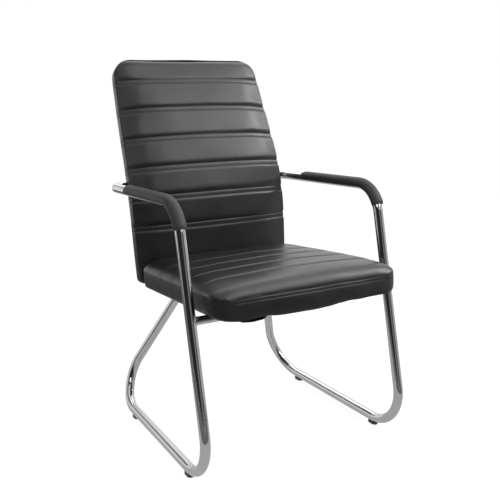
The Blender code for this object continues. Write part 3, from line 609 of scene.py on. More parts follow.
def make_pads():
    for side in SIDES:
        route = pad_route(side)
        travelled, loops = 0.0, []
        whole = sum((b - a).length for a, b in zip(route, route[1:]))
        for k, (point, along) in enumerate(zip(route, directions(route))):
            travelled += (point - route[k - 1]).length if k else 0.0
            tip = math.sin(min(1.0, travelled / PAD_TIP) * math.pi / 2)
            end = math.sqrt(max(0.0, min(1.0, (whole - travelled) / PAD_END)))
            fullness = PAD_TIP_SHARE + (1 - PAD_TIP_SHARE) * tip
            fullness *= PAD_END_SHARE + (1 - PAD_END_SHARE) * end
            loops.append(pad_loop(point, along, fullness))
        bm = bmesh.new()
        skin_loops(bm, loops)
        pad = add_piece(side + "_moulded_pad", bm, PAD_SKIN)
        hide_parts(side + "_arm_pad")
        print(side, "pad:", round(whole, 3), "m long")


make_pads()

# %% [markdown]
# ## Cushions
#
# A cushion is a closed skin of quads: rings around it, one after another along its length, and a
# grid over each end. Rings lie close together at the sewn lines and further apart between them, so
# that a seam is crisp without a heavy mesh. A ring has a top, two sides with rows at chosen heights
# (a gusset's seam runs along such a row), and a bottom.
#
# A form says what a cushion is: its `stations`, a `size` and a `shape` function, and how its sides
# are rounded.

# %% One side of a ring, from the top down
SHOULDER_STEPS, SHOULDER_SHARE = 10, 0.85
RIM_STEPS, RIM_SHARE = 3, 0.4
WALL_SHARES = (0.33, 0.66)


def quarter_drop(distance, reach, drop):
    """What a quarter ellipse takes off at a distance from its end."""
    if distance >= reach:
        return 0.0
    return drop * (1 - math.sqrt(max(0.0, 1 - (1 - distance / reach) ** 2)))


def rounded_off(size, front, rear, ends):
    """A size, less what two round ends take off. `ends` holds a (reach, drop) for each."""
    return size - quarter_drop(front, *ends[0]) - quarter_drop(rear, *ends[1])


def side_levels(form, low, high):
    """[(inset from the side, height)] over the shoulder, down the wall and round the rim."""
    band = form["band"]
    drop = SHOULDER_SHARE * (high - band[0])
    rim = min(form["rim"], RIM_SHARE * (band[-1] - low))
    levels = []
    for k in range(SHOULDER_STEPS + 1):
        turn = math.pi / 2 * (1 - k / SHOULDER_STEPS)
        levels.append((form["edge"] * (1 - math.cos(turn)), high - drop * (1 - math.sin(turn))))
    wall_top = high - drop
    levels += [(0.0, wall_top + (band[0] - wall_top) * share) for share in WALL_SHARES]
    levels += [(0.0, height) for height in band]
    levels += [(0.0, band[-1] + (low + rim - band[-1]) * share) for share in WALL_SHARES]
    for k in range(RIM_STEPS + 1):
        turn = math.pi / 2 * k / RIM_STEPS
        levels.append((rim * (1 - math.cos(turn)), low + rim * (1 - math.sin(turn))))
    return levels


# %% A whole ring
def ring_points(form, along, columns):
    """The ring's points as (across, along, height): top, left side, bottom, right side."""
    half, low, high, crown = form["size"](along)
    levels = side_levels(form, low, high)
    swell = form["swell"]
    flat, foot = half - levels[0][0], half - levels[-1][0] - swell
    spread = [1 - 2 * c / columns for c in range(columns + 1)]
    top = [(flat * s, along, high + crown * (1 - (flat * s / half) ** 2)) for s in spread]
    bottom = [(foot * s, along, low) for s in spread]
    wall = []
    for inset, height in levels:
        share = (height - low) / (high - low)
        bow = crown * (1 - ((half - inset) / half) ** 2) * share
        wall.append((half - inset - swell + swell * math.sin(math.pi * share), height + bow))
    left, right = ([(sign * across, along, height) for across, height in wall] for sign in (-1, 1))
    top[0], top[-1] = right[0], left[0]
    return top + left[1:-1] + bottom[::-1] + right[-2:0:-1]


def ring_index(guide, part, k, ring=0):
    """Index of the k-th vertex of a ring's top, left side, bottom or right side."""
    columns, rows, count = guide["columns"], guide["rows"], guide["count"]
    places = {"top": k, "left": columns + k, "bottom": 2 * columns + rows - k, "right": -k % count}
    return ring * count + places[part]


# %% The closed skin
def close_end(bm, guide, ring, end):
    """A grid from the ring's top to its bottom, with the rows of its sides."""
    form, columns, rows = guide["form"], guide["columns"], guide["rows"]
    along = form["stations"][end]
    half, low, high, _ = form["size"](along)
    levels = side_levels(form, low, high)
    grid = [[ring[ring_index(guide, "top", c)] for c in range(columns + 1)]]
    for r in range(1, rows):
        inset, height = levels[r]
        share = (height - low) / (high - low)
        width = half - inset - form["swell"] * (1 - math.sin(math.pi * share))
        line = [ring[ring_index(guide, "right", r)]]
        for c in range(1, columns):
            point = (width * (1 - 2 * c / columns), along, height)
            line.append(bm.verts.new(form["shape"](point, end=end, share=share, width=width)))
        grid.append(line + [ring[ring_index(guide, "left", r)]])
    grid.append([ring[ring_index(guide, "bottom", c)] for c in range(columns + 1)])
    weave(bm, grid)
    return grid


def cushion_mesh(form, columns):
    """Rings and end grids of a form. Returns the mesh and a guide to where its vertices are."""
    bm = bmesh.new()
    rings = []
    for along in form["stations"]:
        rings.append([bm.verts.new(form["shape"](point)) for point in ring_points(form, along, columns)])
    weave(bm, rings, rings=True)
    rows = len(side_levels(form, 0.0, 0.1)) - 1
    guide = {"form": form, "columns": columns, "rows": rows, "count": len(rings[0])}
    grids = {end: close_end(bm, guide, rings[end], end) for end in (0, -1)}
    bm.verts.index_update()
    guide["ends"] = {end: [[v.index for v in line] for line in grid] for end, grid in grids.items()}
    bmesh.ops.recalc_face_normals(bm, faces=bm.faces)
    return mesh_from(form["name"], bm), guide


def leather_piece(form, columns):
    """A form in leather, in the scene, and the guide to its vertices."""
    mesh, guide = cushion_mesh(form, columns)
    mesh.materials.append(LEATHER)
    mesh.shade_smooth()
    return into_scene(form["name"], mesh), guide


# %% [markdown]
# Where two rows of stitches run 12 mm apart they hold down a ribbon, and the leather puffs up again
# on both sides. The first function gives how deep the skin lies at a place along the cushion.

# %% Sewn channels
UPPER_LINE, LOWER_LINE, RIBBON_DEPTH = 0.0056, 0.0038, 0.0034
UPPER_SLOPE, LOWER_SLOPE = 0.014, 0.009
CLOSE_RINGS = (0.0170, 0.0135, 0.0110, 0.0088, 0.0072, 0.0064, 0.0060, 0.0055, 0.0044, 0.0022)
RING_SPACING = 0.0075


def channel_depth(along, middles, softness=1.0):
    """The panel above bulges over its line, the one below springs back sooner."""
    offset = min((along - middle for middle in middles), key=abs)
    line = RIBBON / 2
    if abs(offset) < line:
        edge = LOWER_LINE + (UPPER_LINE - LOWER_LINE) * (offset / line + 1) / 2
        rise = max(0.0, math.cos(math.pi / 2 * offset / line)) ** 0.4
        return edge + (RIBBON_DEPTH - edge) * rise
    if offset > 0:
        return UPPER_LINE * max(0.0, 1 - (offset - line) / (softness * UPPER_SLOPE)) ** 2
    return LOWER_LINE * max(0.0, 1 + (offset + line) / (softness * LOWER_SLOPE)) ** 2


def sewn_lines(middles):
    """Both lines of stitches of every ribbon."""
    return [middle + sign * RIBBON / 2 for middle in middles for sign in (-1, 1)]


def channel_stations(middles, first, last):
    """Rings close together at each sewn line, and evenly spaced between."""
    close = [m + sign * off for m in middles for off in CLOSE_RINGS for sign in (1, -1)] + list(middles)
    places = sorted([p for p in close if first < p < last] + [first, last])
    filled = []
    for low, high in zip(places, places[1:]):
        parts = max(1, round((high - low) / RING_SPACING))
        filled += [low + (high - low) * k / parts for k in range(parts)]
    return filled + [last]


def end_stations(first, last, reach_first, reach_last, steps):
    """Places that follow the round ends."""
    rise = [1 - math.cos(math.pi / 2 * k / steps) for k in range(steps)]
    return [first + reach_first * r for r in rise], [last - reach_last * r for r in reversed(rise)]


def cushion_stations(middles, first, last, reach_first, reach_last, steps):
    """Places of all rings of a cushion."""
    near, far = end_stations(first, last, reach_first, reach_last, steps)
    return near + channel_stations(middles, first + reach_first, last - reach_last) + far


# %% [markdown]
# ### The seat
#
# A boxed seat: a panel with four pairs of sewn lines across, drawn down over a front edge that has a
# double-stitched seam, and pulled under the board, which leaves the lower edge a little wavy.

# %% The seat's sizes
SEAT_CHANNELS = [0.004 + CHANNEL_PITCH * k for k in range(4)]
SEAT_CHANNEL_SHARE, SEAT_SOFTNESS = 0.34, 0.5
SEAT_CHANNEL_AT_SIDE, SEAT_SIDE_REACH = 0.35, 0.05
SEAT_FRONT_SPAN, SEAT_REAR_SPAN = 0.261, 0.247
SEAT_CROWN, SEAT_BULGE = 0.010, 0.005
SEAT_WAVER, FRONT_WAVER = 0.0006, 0.0008
SEAT_CORNERS = ((0.042, 0.042), (0.045, 0.045))
SEAT_ROLLS = ((0.024, 0.0155), (0.022, 0.022))
SEAT_REACHES, SEAT_END_STEPS = (0.034, 0.022), 10
SEAT_FALL, SEAT_FALL_FROM = 0.70, 0.140
SEAT_RIM, SEAT_HANG, SEAT_SKIRT, SEAT_SIDE_LIFT = -0.001, 0.0075, 0.020, 0.004
SEAM_HEIGHT, SEAM_APART = 0.0385, 0.0076
SEAM_ROWS = (SEAM_HEIGHT - SEAM_APART / 2, SEAM_HEIGHT + SEAM_APART / 2)
SEAT_SEAM_DEPTH, SEAT_SEAM_WIDTH = 0.0011, 0.0013
FRONT_REACH, CORNER_SEAM_REACH = 0.10, 0.06
BOARD_INSET, UNDER_BOARD = 0.014, 0.0012
FRONT_WAVE = (
    (-0.27, 0.006), (-0.22, 0.0035), (-0.19, 0.0006), (-0.157, 0.0040), (-0.127, 0.0044),
    (-0.105, 0.0008), (-0.083, -0.0005), (-0.042, -0.001), (0.0, -0.0017), (0.043, 0.0),
    (0.072, 0.003), (0.103, 0.005), (0.132, 0.004), (0.165, 0.0052), (0.27, 0.006),
)
print("seat's ribbons at", [round(along, 3) for along in SEAT_CHANNELS])


# %% The seat's form
def seat_last():
    """The seat ends against the back's crowned front."""
    face = back_place(0, SEAT_HEIGHT / 2, BACK_PADDING + BACK_CROWN)
    zero = seat_place(0, 0, SEAT_HEIGHT / 2)
    return (face.y - zero.y) / math.cos(SEAT_TILT) - 2 * GAP


def seat_size(along):
    """(half width, low, high, crown) of the seat at a place along it."""
    last = seat_last()
    front, rear = along - SEAT_FRONT, last - along
    share = front / (last - SEAT_FRONT)
    span = SEAT_FRONT_SPAN + share * (SEAT_REAR_SPAN - SEAT_FRONT_SPAN)
    half = rounded_off(span, front, rear, SEAT_CORNERS)
    high = rounded_off(SEAT_HEIGHT, front, rear, SEAT_ROLLS)
    high -= SEAT_FALL * max(0.0, SEAT_FALL_FROM - front) ** 2
    low = SEAT_RIM - SEAT_HANG * max(0.0, 1 - front / SEAT_CORNERS[0][0])
    return half, low, high, SEAT_CROWN * (1 - abs(2 * share - 1) ** (20 if share < 0.5 else 4))


def eased(table, x):
    """A value from a table, with smooth steps between its entries."""
    for (x0, y0), (x1, y1) in zip(table, table[1:]):
        if x <= x1:
            share = max(0.0, (x - x0) / (x1 - x0))
            return y0 + (y1 - y0) * share * share * (3 - 2 * share)
    return table[-1][1]


def waver(point, scale, seed):
    """A slow, repeatable wander between about -1 and 1."""
    return 2 * noise.noise(Vector(point) * scale + Vector((seed, 2 * seed, 0)))


def board_edge(across, along):
    """How far inside the board's outline a point of the seat's plane lies."""
    half = seat_size(along)[0]
    return min(half - abs(across), along - SEAT_FRONT, seat_last() - along) - BOARD_INSET


def seat_shape(point, end=None, share=0.0, width=1.0):
    across, along, height = point
    half, low, high, _ = seat_size(along)
    if height == low and board_edge(across, along) > 0.002:
        return seat_place(across, along, UNDER_BOARD)
    topness = max(0.0, (height - low) / (high - low)) ** 2
    sideways = min(1.0, max(0.0, (half - abs(across)) / SEAT_SIDE_REACH))
    hold = SEAT_CHANNEL_AT_SIDE + (1 - SEAT_CHANNEL_AT_SIDE) * sideways
    height -= topness * channel_depth(along, SEAT_CHANNELS, SEAT_SOFTNESS) * hold * SEAT_CHANNEL_SHARE
    height += SEAT_WAVER * topness * waver(point, 14, 1)
    near_front = max(0.0, 1 - (along - SEAT_FRONT) / FRONT_REACH)
    seam = min(abs(point[2] - row) for row in SEAM_ROWS)
    pinch = SEAT_SEAM_DEPTH * math.exp(-((seam / SEAT_SEAM_WIDTH) ** 2)) * near_front
    if end == 0:
        bulge = SEAT_BULGE * math.sin(math.pi * min(1.0, share)) * (1 - (across / width) ** 4)
        along += pinch - bulge - FRONT_WAVER * waver(point, 22, 2)
    elif abs(across) > half - 0.006:
        across -= math.copysign(pinch, across)
    if height < SEAT_SKIRT:
        hanging = min(1.0, (SEAT_SKIRT - height) / SEAT_SKIRT)
        lift = near_front * eased(FRONT_WAVE, across) + (1 - near_front) * SEAT_SIDE_LIFT
        height += hanging * lift
    return seat_place(across, along, height)


def seat_form():
    lower, upper = SEAM_ROWS
    band = [upper + off for off in (0.003, SEAT_SEAM_WIDTH, 0.0, -SEAT_SEAM_WIDTH)] + [SEAM_HEIGHT]
    band += [lower + off for off in (SEAT_SEAM_WIDTH, 0.0, -SEAT_SEAM_WIDTH, -0.003)]
    stations = cushion_stations(SEAT_CHANNELS, SEAT_FRONT, seat_last(), *SEAT_REACHES, SEAT_END_STEPS)
    return {
        "name": "seat_leather", "stations": stations, "size": seat_size, "shape": seat_shape,
        "edge": 0.048, "rim": 0.008, "swell": 0.0025, "band": band, "channels": SEAT_CHANNELS,
        "sewn_rows": SEAM_ROWS, "sewn_until": SEAT_FRONT + CORNER_SEAM_REACH,
    }


print("seat:", round(seat_last() - SEAT_FRONT, 3), "m deep")


# %% [markdown]
# ### Padding by simulation
#
# Foam pushes the leather out between the seams, and the leather's stiffness turns that into soft,
# uneven swellings. Blender's cloth does the same: the seams and the underside are pinned, pressure
# acts inside, gravity is off. The result is capped, so that no point moves further than the
# upholstery would, and one subdivision makes it smooth.

# %% Which vertices lie on a seam
RIBBON_REACH, SEAM_REACH, ON_SEAM = 0.0018, 0.0020, 0.0003


def seam_vertices(guide, reach):
    """(vertex, closeness) near the seams that run along a side: 1 on the seam, 0 at `reach`."""
    form = guide["form"]

    def rows_near(along):
        if along < form["sewn_until"]:
            for row, (_, height) in enumerate(side_levels(form, *form["size"](along)[1:3])):
                closeness = 1 - min(abs(height - seam) for seam in form["sewn_rows"]) / reach
                if closeness > 0:
                    yield row, closeness

    for ring, along in enumerate(form["stations"]):
        for row, closeness in rows_near(along):
            for side in ("left", "right"):
                yield ring_index(guide, side, row, ring), closeness
    for end, grid in guide["ends"].items():
        for row, closeness in rows_near(form["stations"][end]):
            for vertex in grid[row]:
                yield vertex, closeness


def mark_seam_shade(piece, guide):
    """Writes how close each vertex is to a sewn line; the leather's finish paints shade and dulls it
    there.
    """
    values = []
    lines = sewn_lines(guide["form"]["channels"])
    for along in guide["form"]["stations"]:
        values += [max(0.0, 1 - min(abs(along - line) for line in lines) / RIBBON_REACH)] * guide["count"]
    values += [0.0] * (len(piece.data.vertices) - len(values))
    for vertex, closeness in seam_vertices(guide, SEAM_REACH):
        values[vertex] = max(values[vertex], closeness)
    piece.data.attributes.new("seam", "FLOAT", "POINT").data.foreach_set("value", values)


def sewn_down(guide):
    """Vertices that stitches or staples hold: ribbons, seams, and all that lies under the board."""
    columns, rows, count = guide["columns"], guide["rows"], guide["count"]
    lowest_free = rows - RIM_STEPS
    under = range(columns + lowest_free, 2 * columns + rows + RIM_STEPS + 1)
    held = {vertex for vertex, _ in seam_vertices(guide, ON_SEAM)}
    for ring, along in enumerate(guide["form"]["stations"]):
        ribbon = any(abs(along - middle) < RIBBON / 2 + 0.0004 for middle in guide["form"]["channels"])
        held.update(ring * count + k for k in (range(count) if ribbon else under))
    for grid in guide["ends"].values():
        held.update(vertex for line in grid[lowest_free:] for vertex in line)
    return held


# %% Cloth simulation
SIM_FRAMES, EVEN_ROUNDS = 20, 12
CLOTH_SETTINGS = {
    "use_pressure": True, "uniform_pressure_force": 1.5, "quality": 4,
    "tension_stiffness": 30, "compression_stiffness": 30, "bending_stiffness": 4.0,
}


def even_out(mesh, moves, held):
    """Shares the moves between neighbours, as foam does under leather. Sewn points stay put."""
    near = [[] for _ in mesh.vertices]
    for edge in mesh.edges:
        a, b = edge.vertices
        near[a].append(b)
        near[b].append(a)
    free = [k for k in range(len(moves)) if k not in held]
    for _ in range(EVEN_ROUNDS):
        shared = list(moves)
        for k in free:
            shared[k] = (moves[k] + sum((moves[j] for j in near[k]), Vector()) / len(near[k])) / 2
        moves = shared
    return moves


def inflate(piece, held, cap):
    """Blows the piece up a little as cloth. The held vertices are pinned."""
    group = piece.vertex_groups.new(name="held")
    group.add(sorted(held), 1.0, "REPLACE")
    cloth = piece.modifiers.new("cloth", "CLOTH")
    for key, value in CLOTH_SETTINGS.items():
        setattr(cloth.settings, key, value)
    cloth.settings.vertex_group_mass = group.name
    cloth.settings.effector_weights.gravity = 0
    cloth.collision_settings.use_self_collision = False
    cloth.point_cache.frame_start, cloth.point_cache.frame_end = 1, SIM_FRAMES
    for step in range(1, SIM_FRAMES + 1):
        bpy.context.scene.frame_set(step)
    blown = piece.evaluated_get(bpy.context.evaluated_depsgraph_get()).data
    moves = [b.co - a.co for a, b in zip(piece.data.vertices, blown.vertices)]
    moves = even_out(piece.data, moves, held)
    piece.modifiers.remove(cloth)
    piece.vertex_groups.remove(group)
    bpy.context.scene.frame_set(1)
    for vertex, move in zip(piece.data.vertices, moves):
        vertex.co += move * cap / (cap + move.length)
    furthest = max(move.length for move in moves)
    print(piece.name, "moved at most", round(furthest * 1000, 1), "mm before the cap")


def subdivide(piece):
    """One subdivision, applied. The first vertices of the new mesh are the old ones, smoothed."""
    smoother = piece.modifiers.new("smooth", "SUBSURF")
    smoother.levels = smoother.render_levels = 1
    finer = bpy.data.meshes.new_from_object(piece.evaluated_get(bpy.context.evaluated_depsgraph_get()))
    piece.modifiers.remove(smoother)
    piece.data = finer
    finer.shade_smooth()


def make_cushion(form, columns, cap):
    piece, guide = leather_piece(form, columns)
    inflate(piece, sewn_down(guide), cap)
    mark_seam_shade(piece, guide)
    subdivide(piece)
    print(form["name"], len(piece.data.vertices), "vertices")
    return dress(piece), guide


# %% The seat cushion
SEAT, SEAT_GUIDE = make_cushion(seat_form(), 60, cap=0.0012)
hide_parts("seat_cover", "seat_foam")

# %% [markdown]
# A black non-woven cloth closes the seat from below. It is stapled under the board and sags a little
# between its staples, most of all at the front near the right corner, where it shows below the rim.

# %% Dust cover
DUST_ROWS, DUST_COLUMNS = 56, 84
DUST_CLEAR, DUST_HEM = 0.09, 0.012
DUST_CORNERS = ((0.045, 0.045),) * 2
DUST_LEVEL, DUST_PUCKER = 0.0004, 0.0002
DUST_SAG_REACH = 0.05
DUST_SAG = (
    (-0.24, 0.001), (-0.205, 0.004), (-0.185, 0.0150), (-0.160, 0.0172), (-0.135, 0.0158),
    (-0.112, 0.005), (-0.07, 0.002), (-0.03, 0.004), (0.02, 0.002), (0.08, 0.005), (0.13, 0.002),
    (0.24, 0.001),
)


def dust_row(bm, along, first, last):
    """One row of the cloth, from its left edge to its right one."""
    clear = min(max(along, SEAT_FRONT + DUST_CLEAR), seat_last() - DUST_CLEAR)
    half = rounded_off(seat_size(clear)[0] - BOARD_INSET, along - first, last - along, DUST_CORNERS)
    loose = max(0.0, 1 - (along - first) / DUST_SAG_REACH) ** 1.5
    row = []
    for c in range(DUST_COLUMNS + 1):
        across = half * (1 - 2 * c / DUST_COLUMNS)
        pucker = DUST_PUCKER * noise.noise(Vector((across * 60, along * 60, 3.0)))
        height = DUST_LEVEL + pucker - loose * eased(DUST_SAG, across)
        row.append(bm.verts.new(seat_place(across, along, height)))
    return row


def make_dust_cover():
    first, last = SEAT_FRONT + BOARD_INSET, seat_last() - BOARD_INSET
    bm = bmesh.new()
    places = [first + (last - first) * r / DUST_ROWS for r in range(DUST_ROWS + 1)]
    weave(bm, [dust_row(bm, along, first, last) for along in places])
    area = sum(face.calc_area() for face in bm.faces)
    cloth = add_piece("dust_cloth", bm, DUST_CLOTH)
    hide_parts("seat_dust_cover")
    print("dust cover:", round(area, 4), "square metres")


make_dust_cover()

# %% [markdown]
# ### The back
#
# The same making, on the back's bent profile: six pairs of sewn lines, a gusset that joins the front
# panel along the sides, and square lower corners that stand behind the seat.

# %% The back's sizes
BACK_CHANNELS = [0.1540, 0.2323, 0.3090, 0.3913, 0.4780, 0.5639]
BACK_TOP_CHANNEL_SHARE, BACK_TOP_PANEL = 0.7, BACK_CHANNELS[-1] - 0.03
BACK_WIDEST, BACK_WIDEST_AT, BACK_TAPER = 0.2420, 0.250, 1.6
BACK_FOOT_SPAN, BACK_TOP_SPAN = 0.2355, 0.223
BACK_CORNERS = ((0.014, 0.014), (0.048, 0.048))
BACK_ROLLS = ((0.018, 0.018), (0.026, 0.026))
BACK_REACHES, BACK_END_STEPS = (0.018, 0.040), 9
BACK_RIM, BACK_BULGE, BACK_WAVER = 0.014, 0.003, 0.0007
BACK_FULLNESS, BACK_SHOULDER, BACK_SHOULDER_REACH = 0.005, 0.010, 0.16
FULL_FROM_FOOT, FULL_FROM_HEAD = 0.05, 0.12
GUSSET_HEIGHT = 0.022
GUSSET_PINCH, GUSSET_PINCH_WIDTH = 0.0018, 0.0018
GUSSET_PUCKER, GUSSET_PUCKER_WIDTH = 0.55, 0.010
print("back's ribbons at", [round(along, 3) for along in BACK_CHANNELS])


# %% The back's form
def back_size(along):
    """(half width, low, high, crown) of the back at a place along it."""
    foot, head = along, BACK_LENGTH - along
    if along < BACK_WIDEST_AT:
        half = BACK_WIDEST - (BACK_WIDEST - BACK_FOOT_SPAN) * (1 - along / BACK_WIDEST_AT) ** 2
    else:
        share = (along - BACK_WIDEST_AT) / (BACK_LENGTH - BACK_WIDEST_AT)
        half = BACK_WIDEST - (BACK_WIDEST - BACK_TOP_SPAN) * share**BACK_TAPER
    half = rounded_off(half, foot, head, BACK_CORNERS)
    high = rounded_off(BACK_PADDING, foot, head, BACK_ROLLS)
    return half, -BACK_RIM, high, BACK_CROWN * (1 - (2 * along / BACK_LENGTH - 1) ** 4)


def back_shape(point, end=None, share=0.0, width=1.0):
    across, along, height = point
    half, low, high, _ = back_size(along)
    topness = min(1.0, max(0.0, (height - GUSSET_HEIGHT) / (high - GUSSET_HEIGHT)))
    depth = channel_depth(along, BACK_CHANNELS)
    if along > BACK_TOP_PANEL:
        depth *= BACK_TOP_CHANNEL_SHARE
    height -= topness * depth
    height += BACK_WAVER * topness * waver(point, 12, 5)
    middle = min(1.0, along / FULL_FROM_FOOT, (BACK_LENGTH - along) / FULL_FROM_HEAD)
    falling = BACK_SHOULDER * max(0.0, 1 - (half - abs(across)) / BACK_SHOULDER_REACH) ** 3
    height += topness * middle * (BACK_FULLNESS * (1 - (across / half) ** 2) - falling)
    seam = abs(point[2] - GUSSET_HEIGHT)
    pinch = GUSSET_PINCH * math.exp(-((seam / GUSSET_PINCH_WIDTH) ** 2))
    if end is None and abs(across) > half - 0.024:
        puckered = depth * GUSSET_PUCKER * math.exp(-((seam / GUSSET_PUCKER_WIDTH) ** 2))
        inward = max(0.0, 1 - (half - abs(across)) / 0.010)
        across -= math.copysign((pinch + puckered) * inward, across)
    if end is not None:
        bulge = BACK_BULGE * math.sin(math.pi * min(1.0, max(0.0, share))) * (1 - (across / width) ** 4)
        along += (pinch - bulge) * (1 if end == 0 else -1)
    return back_place(across, along, height)


def back_form():
    stations = cushion_stations(BACK_CHANNELS, 0.0, BACK_LENGTH, *BACK_REACHES, BACK_END_STEPS)
    band = [GUSSET_HEIGHT + off for off in (0.004, 0.0015, 0.0, -0.0015, -0.004)]
    return {
        "name": "back_leather", "stations": stations, "size": back_size, "shape": back_shape,
        "edge": 0.056, "rim": 0.008, "swell": 0.002, "band": band, "channels": BACK_CHANNELS,
        "sewn_rows": (GUSSET_HEIGHT,), "sewn_until": BACK_LENGTH,
    }


BACK, BACK_GUIDE = make_cushion(back_form(), 56, cap=0.003)
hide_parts("back_cover", "back_foam")

# %% [markdown]
# ## Stitches
#
# The sewn lines are lock stitches in black thread. Each visible stitch is a short spindle of thread
# lying on the leather and dipping into it at both ends. They follow the cushion's own vertices.

# %% Stitches along a line of points
STITCH_PITCH, STITCH_LENGTH, STITCH_RADIUS = 0.0046, 0.0036, 0.00038
STITCH_SIDES, STITCH_LIFT, STITCH_DIP, STITCH_BELLY = 5, 0.1, 1.4, 0.27


def spindle(bm, middle, ahead, out):
    side = ahead.cross(out).normalized()
    dip = out * STITCH_RADIUS * STITCH_DIP
    tips, loops = [], []
    for sign in (-1, 1):
        tips.append(bm.verts.new(middle + ahead * STITCH_LENGTH / 2 * sign - dip))
        belly = middle + ahead * STITCH_LENGTH * STITCH_BELLY * sign
        loops.append([bm.verts.new(p) for p in circle(belly, side, out, STITCH_RADIUS, STITCH_SIDES)])
    weave(bm, loops, rings=True)
    for k in range(STITCH_SIDES):
        j = (k + 1) % STITCH_SIDES
        bm.faces.new((tips[0], loops[0][j], loops[0][k]))
        bm.faces.new((tips[1], loops[1][k], loops[1][j]))


def add_stitches(bm, points, normals):
    """Spindles of thread at an even pitch along a line."""
    travelled, due = 0.0, STITCH_PITCH / 2
    for a, b, na, nb in zip(points, points[1:], normals, normals[1:]):
        span = (b - a).length
        while due <= travelled + span:
            share = (due - travelled) / span
            out = na.lerp(nb, share).normalized()
            lift = out * STITCH_RADIUS * STITCH_LIFT
            spindle(bm, a.lerp(b, share) + lift, (b - a).normalized(), out)
            due += STITCH_PITCH
        travelled += span


def on_skin(piece, indices):
    """The places and normals of some of a piece's vertices."""
    vertices = [piece.data.vertices[k] for k in indices]
    return [v.co.copy() for v in vertices], [v.normal.copy() for v in vertices]


# %% Two lines of stitches at every ribbon
def line_across(piece, guide, along, rows_down):
    """A ring from part way down its left side, over the top, to the same row on its right side."""
    stations = guide["form"]["stations"]
    ring = min(range(len(stations)), key=lambda k: abs(stations[k] - along))
    order = [("left", r) for r in range(rows_down, 0, -1)]
    order += [("top", c) for c in range(guide["columns"], -1, -1)]
    order += [("right", r) for r in range(1, rows_down + 1)]
    return on_skin(piece, [ring_index(guide, part, k, ring) for part, k in order])


def make_channel_stitches(name, piece, guide, rows_down):
    bm = bmesh.new()
    for along in sewn_lines(guide["form"]["channels"]):
        add_stitches(bm, *line_across(piece, guide, along, rows_down))
    stitches = add_piece(name, bm, THREAD)
    print(name, len(stitches.data.polygons), "faces")


make_channel_stitches("seat_stitches", SEAT, SEAT_GUIDE, 5)
make_channel_stitches("back_stitches", BACK, BACK_GUIDE, 6)


# %% The double seam along the seat's front
def front_seam_line(height):
    """Points of the seat's front seam: round the left corner, along the front, round the right."""
    form = SEAT_GUIDE["form"]
    levels = side_levels(form, *seat_size(SEAT_FRONT)[1:3])
    row = min(range(len(levels)), key=lambda r: abs(levels[r][1] - height))
    turns = [k for k, s in enumerate(form["stations"]) if 0 < k and s - SEAT_FRONT < 0.05]
    found = [ring_index(SEAT_GUIDE, "left", row, ring) for ring in reversed(turns)]
    found += reversed(SEAT_GUIDE["ends"][0][row])
    found += [ring_index(SEAT_GUIDE, "right", row, ring) for ring in turns]
    return on_skin(SEAT, found)


def make_front_seam():
    bm = bmesh.new()
    for height in SEAM_ROWS:
        add_stitches(bm, *front_seam_line(height))
    seam = add_piece("front_seam_stitches", bm, THREAD)
    print(seam.name, len(seam.data.polygons), "faces")


make_front_seam()

# %% [markdown]
# ## The back's rear panel
#
# A thin board with a layer of foam, covered in the same leather and pressed on behind. It is made
# like the cushions, only thin, with heights that run rearward.

# %% Rear panel
PANEL_INSET, PANEL_CORNER = 0.0145, 0.044
PANEL_CORNERS = ((PANEL_CORNER, PANEL_CORNER),) * 2
PANEL_PROUD = 0.0006
PANEL_END_STEPS, PANEL_STEPS = 10, 48


def panel_size(along):
    foot, head = along - PANEL_INSET, BACK_LENGTH - PANEL_INSET - along
    clear = min(max(along, 0.05), BACK_LENGTH - 0.06)
    half = rounded_off(back_size(clear)[0] - PANEL_INSET, foot, head, PANEL_CORNERS)
    return half, BACK_BOARD + GAP, BACK_REAR + PANEL_PROUD, 0.0


def panel_shape(point, end=None, share=0.0, width=1.0):
    across, along, height = point
    return back_place(across, along, -height)


def panel_form():
    first, last = PANEL_INSET, BACK_LENGTH - PANEL_INSET
    near, far = end_stations(first, last, PANEL_CORNER, PANEL_CORNER, PANEL_END_STEPS)
    inner = (last - first - 2 * PANEL_CORNER) / PANEL_STEPS
    middle = [first + PANEL_CORNER + inner * k for k in range(PANEL_STEPS + 1)]
    low, high = BACK_BOARD + GAP, BACK_REAR
    band = [low + (high - low) * share for share in (0.5, 0.45, 0.4)]
    return {
        "name": "rear_panel_leather", "stations": near + middle + far, "size": panel_size,
        "shape": panel_shape, "edge": 0.003, "rim": 0.001, "swell": 0.0, "band": band,
    }


PANEL, _ = leather_piece(panel_form(), 40)
dress(PANEL)
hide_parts("back_rear_panel")
print("rear panel:", len(PANEL.data.vertices), "vertices")

# %% [markdown]
# ## Pieces that keep their solids
#
# Glides, straps, boards, bolts and nuts have their true shape already. They only get their finishes,
# and the moulded glides get a fine rounding on their edges.

# %% Finishes for the kept solids
def refinish(names, material, rounding=0.0):
    for name in names:
        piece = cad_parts[name]
        piece.data.materials.clear()
        piece.data.materials.append(material)
        if rounding:
            bevel = piece.modifiers.new("fine rounding", "BEVEL")
            bevel.width = rounding
            bevel.segments = 2
            bevel.limit_method = "ANGLE"
            bevel.angle_limit = SHARP_ANGLE


everything = list(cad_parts)
fittings = [n for n in everything if "bolt" in n or "nut" in n or "sleeve" in n]
refinish([n for n in everything if "glide" in n], GLIDE_PLASTIC, rounding=0.0006)
refinish([n for n in everything if "strap" in n and n not in fittings], BLACK_STEEL)
refinish(fittings, ZINC)
refinish([n for n in everything if n.endswith("_board")], PLYWOOD)
print("kept solids:", len(fittings), "of them fittings")

# %% [markdown]
# ## Stage and light
#
# A white cyclorama: a floor that keeps the chair's soft shadow, a world that is white where the
# camera and mirrors look, and three soft boxes. Cards stand and lie round the chair and show in
# reflections only. The dark ones in front draw the dark streaks on chrome and keep the lower back
# black. The bright ones high up behind and beside it give the leather its sheen.

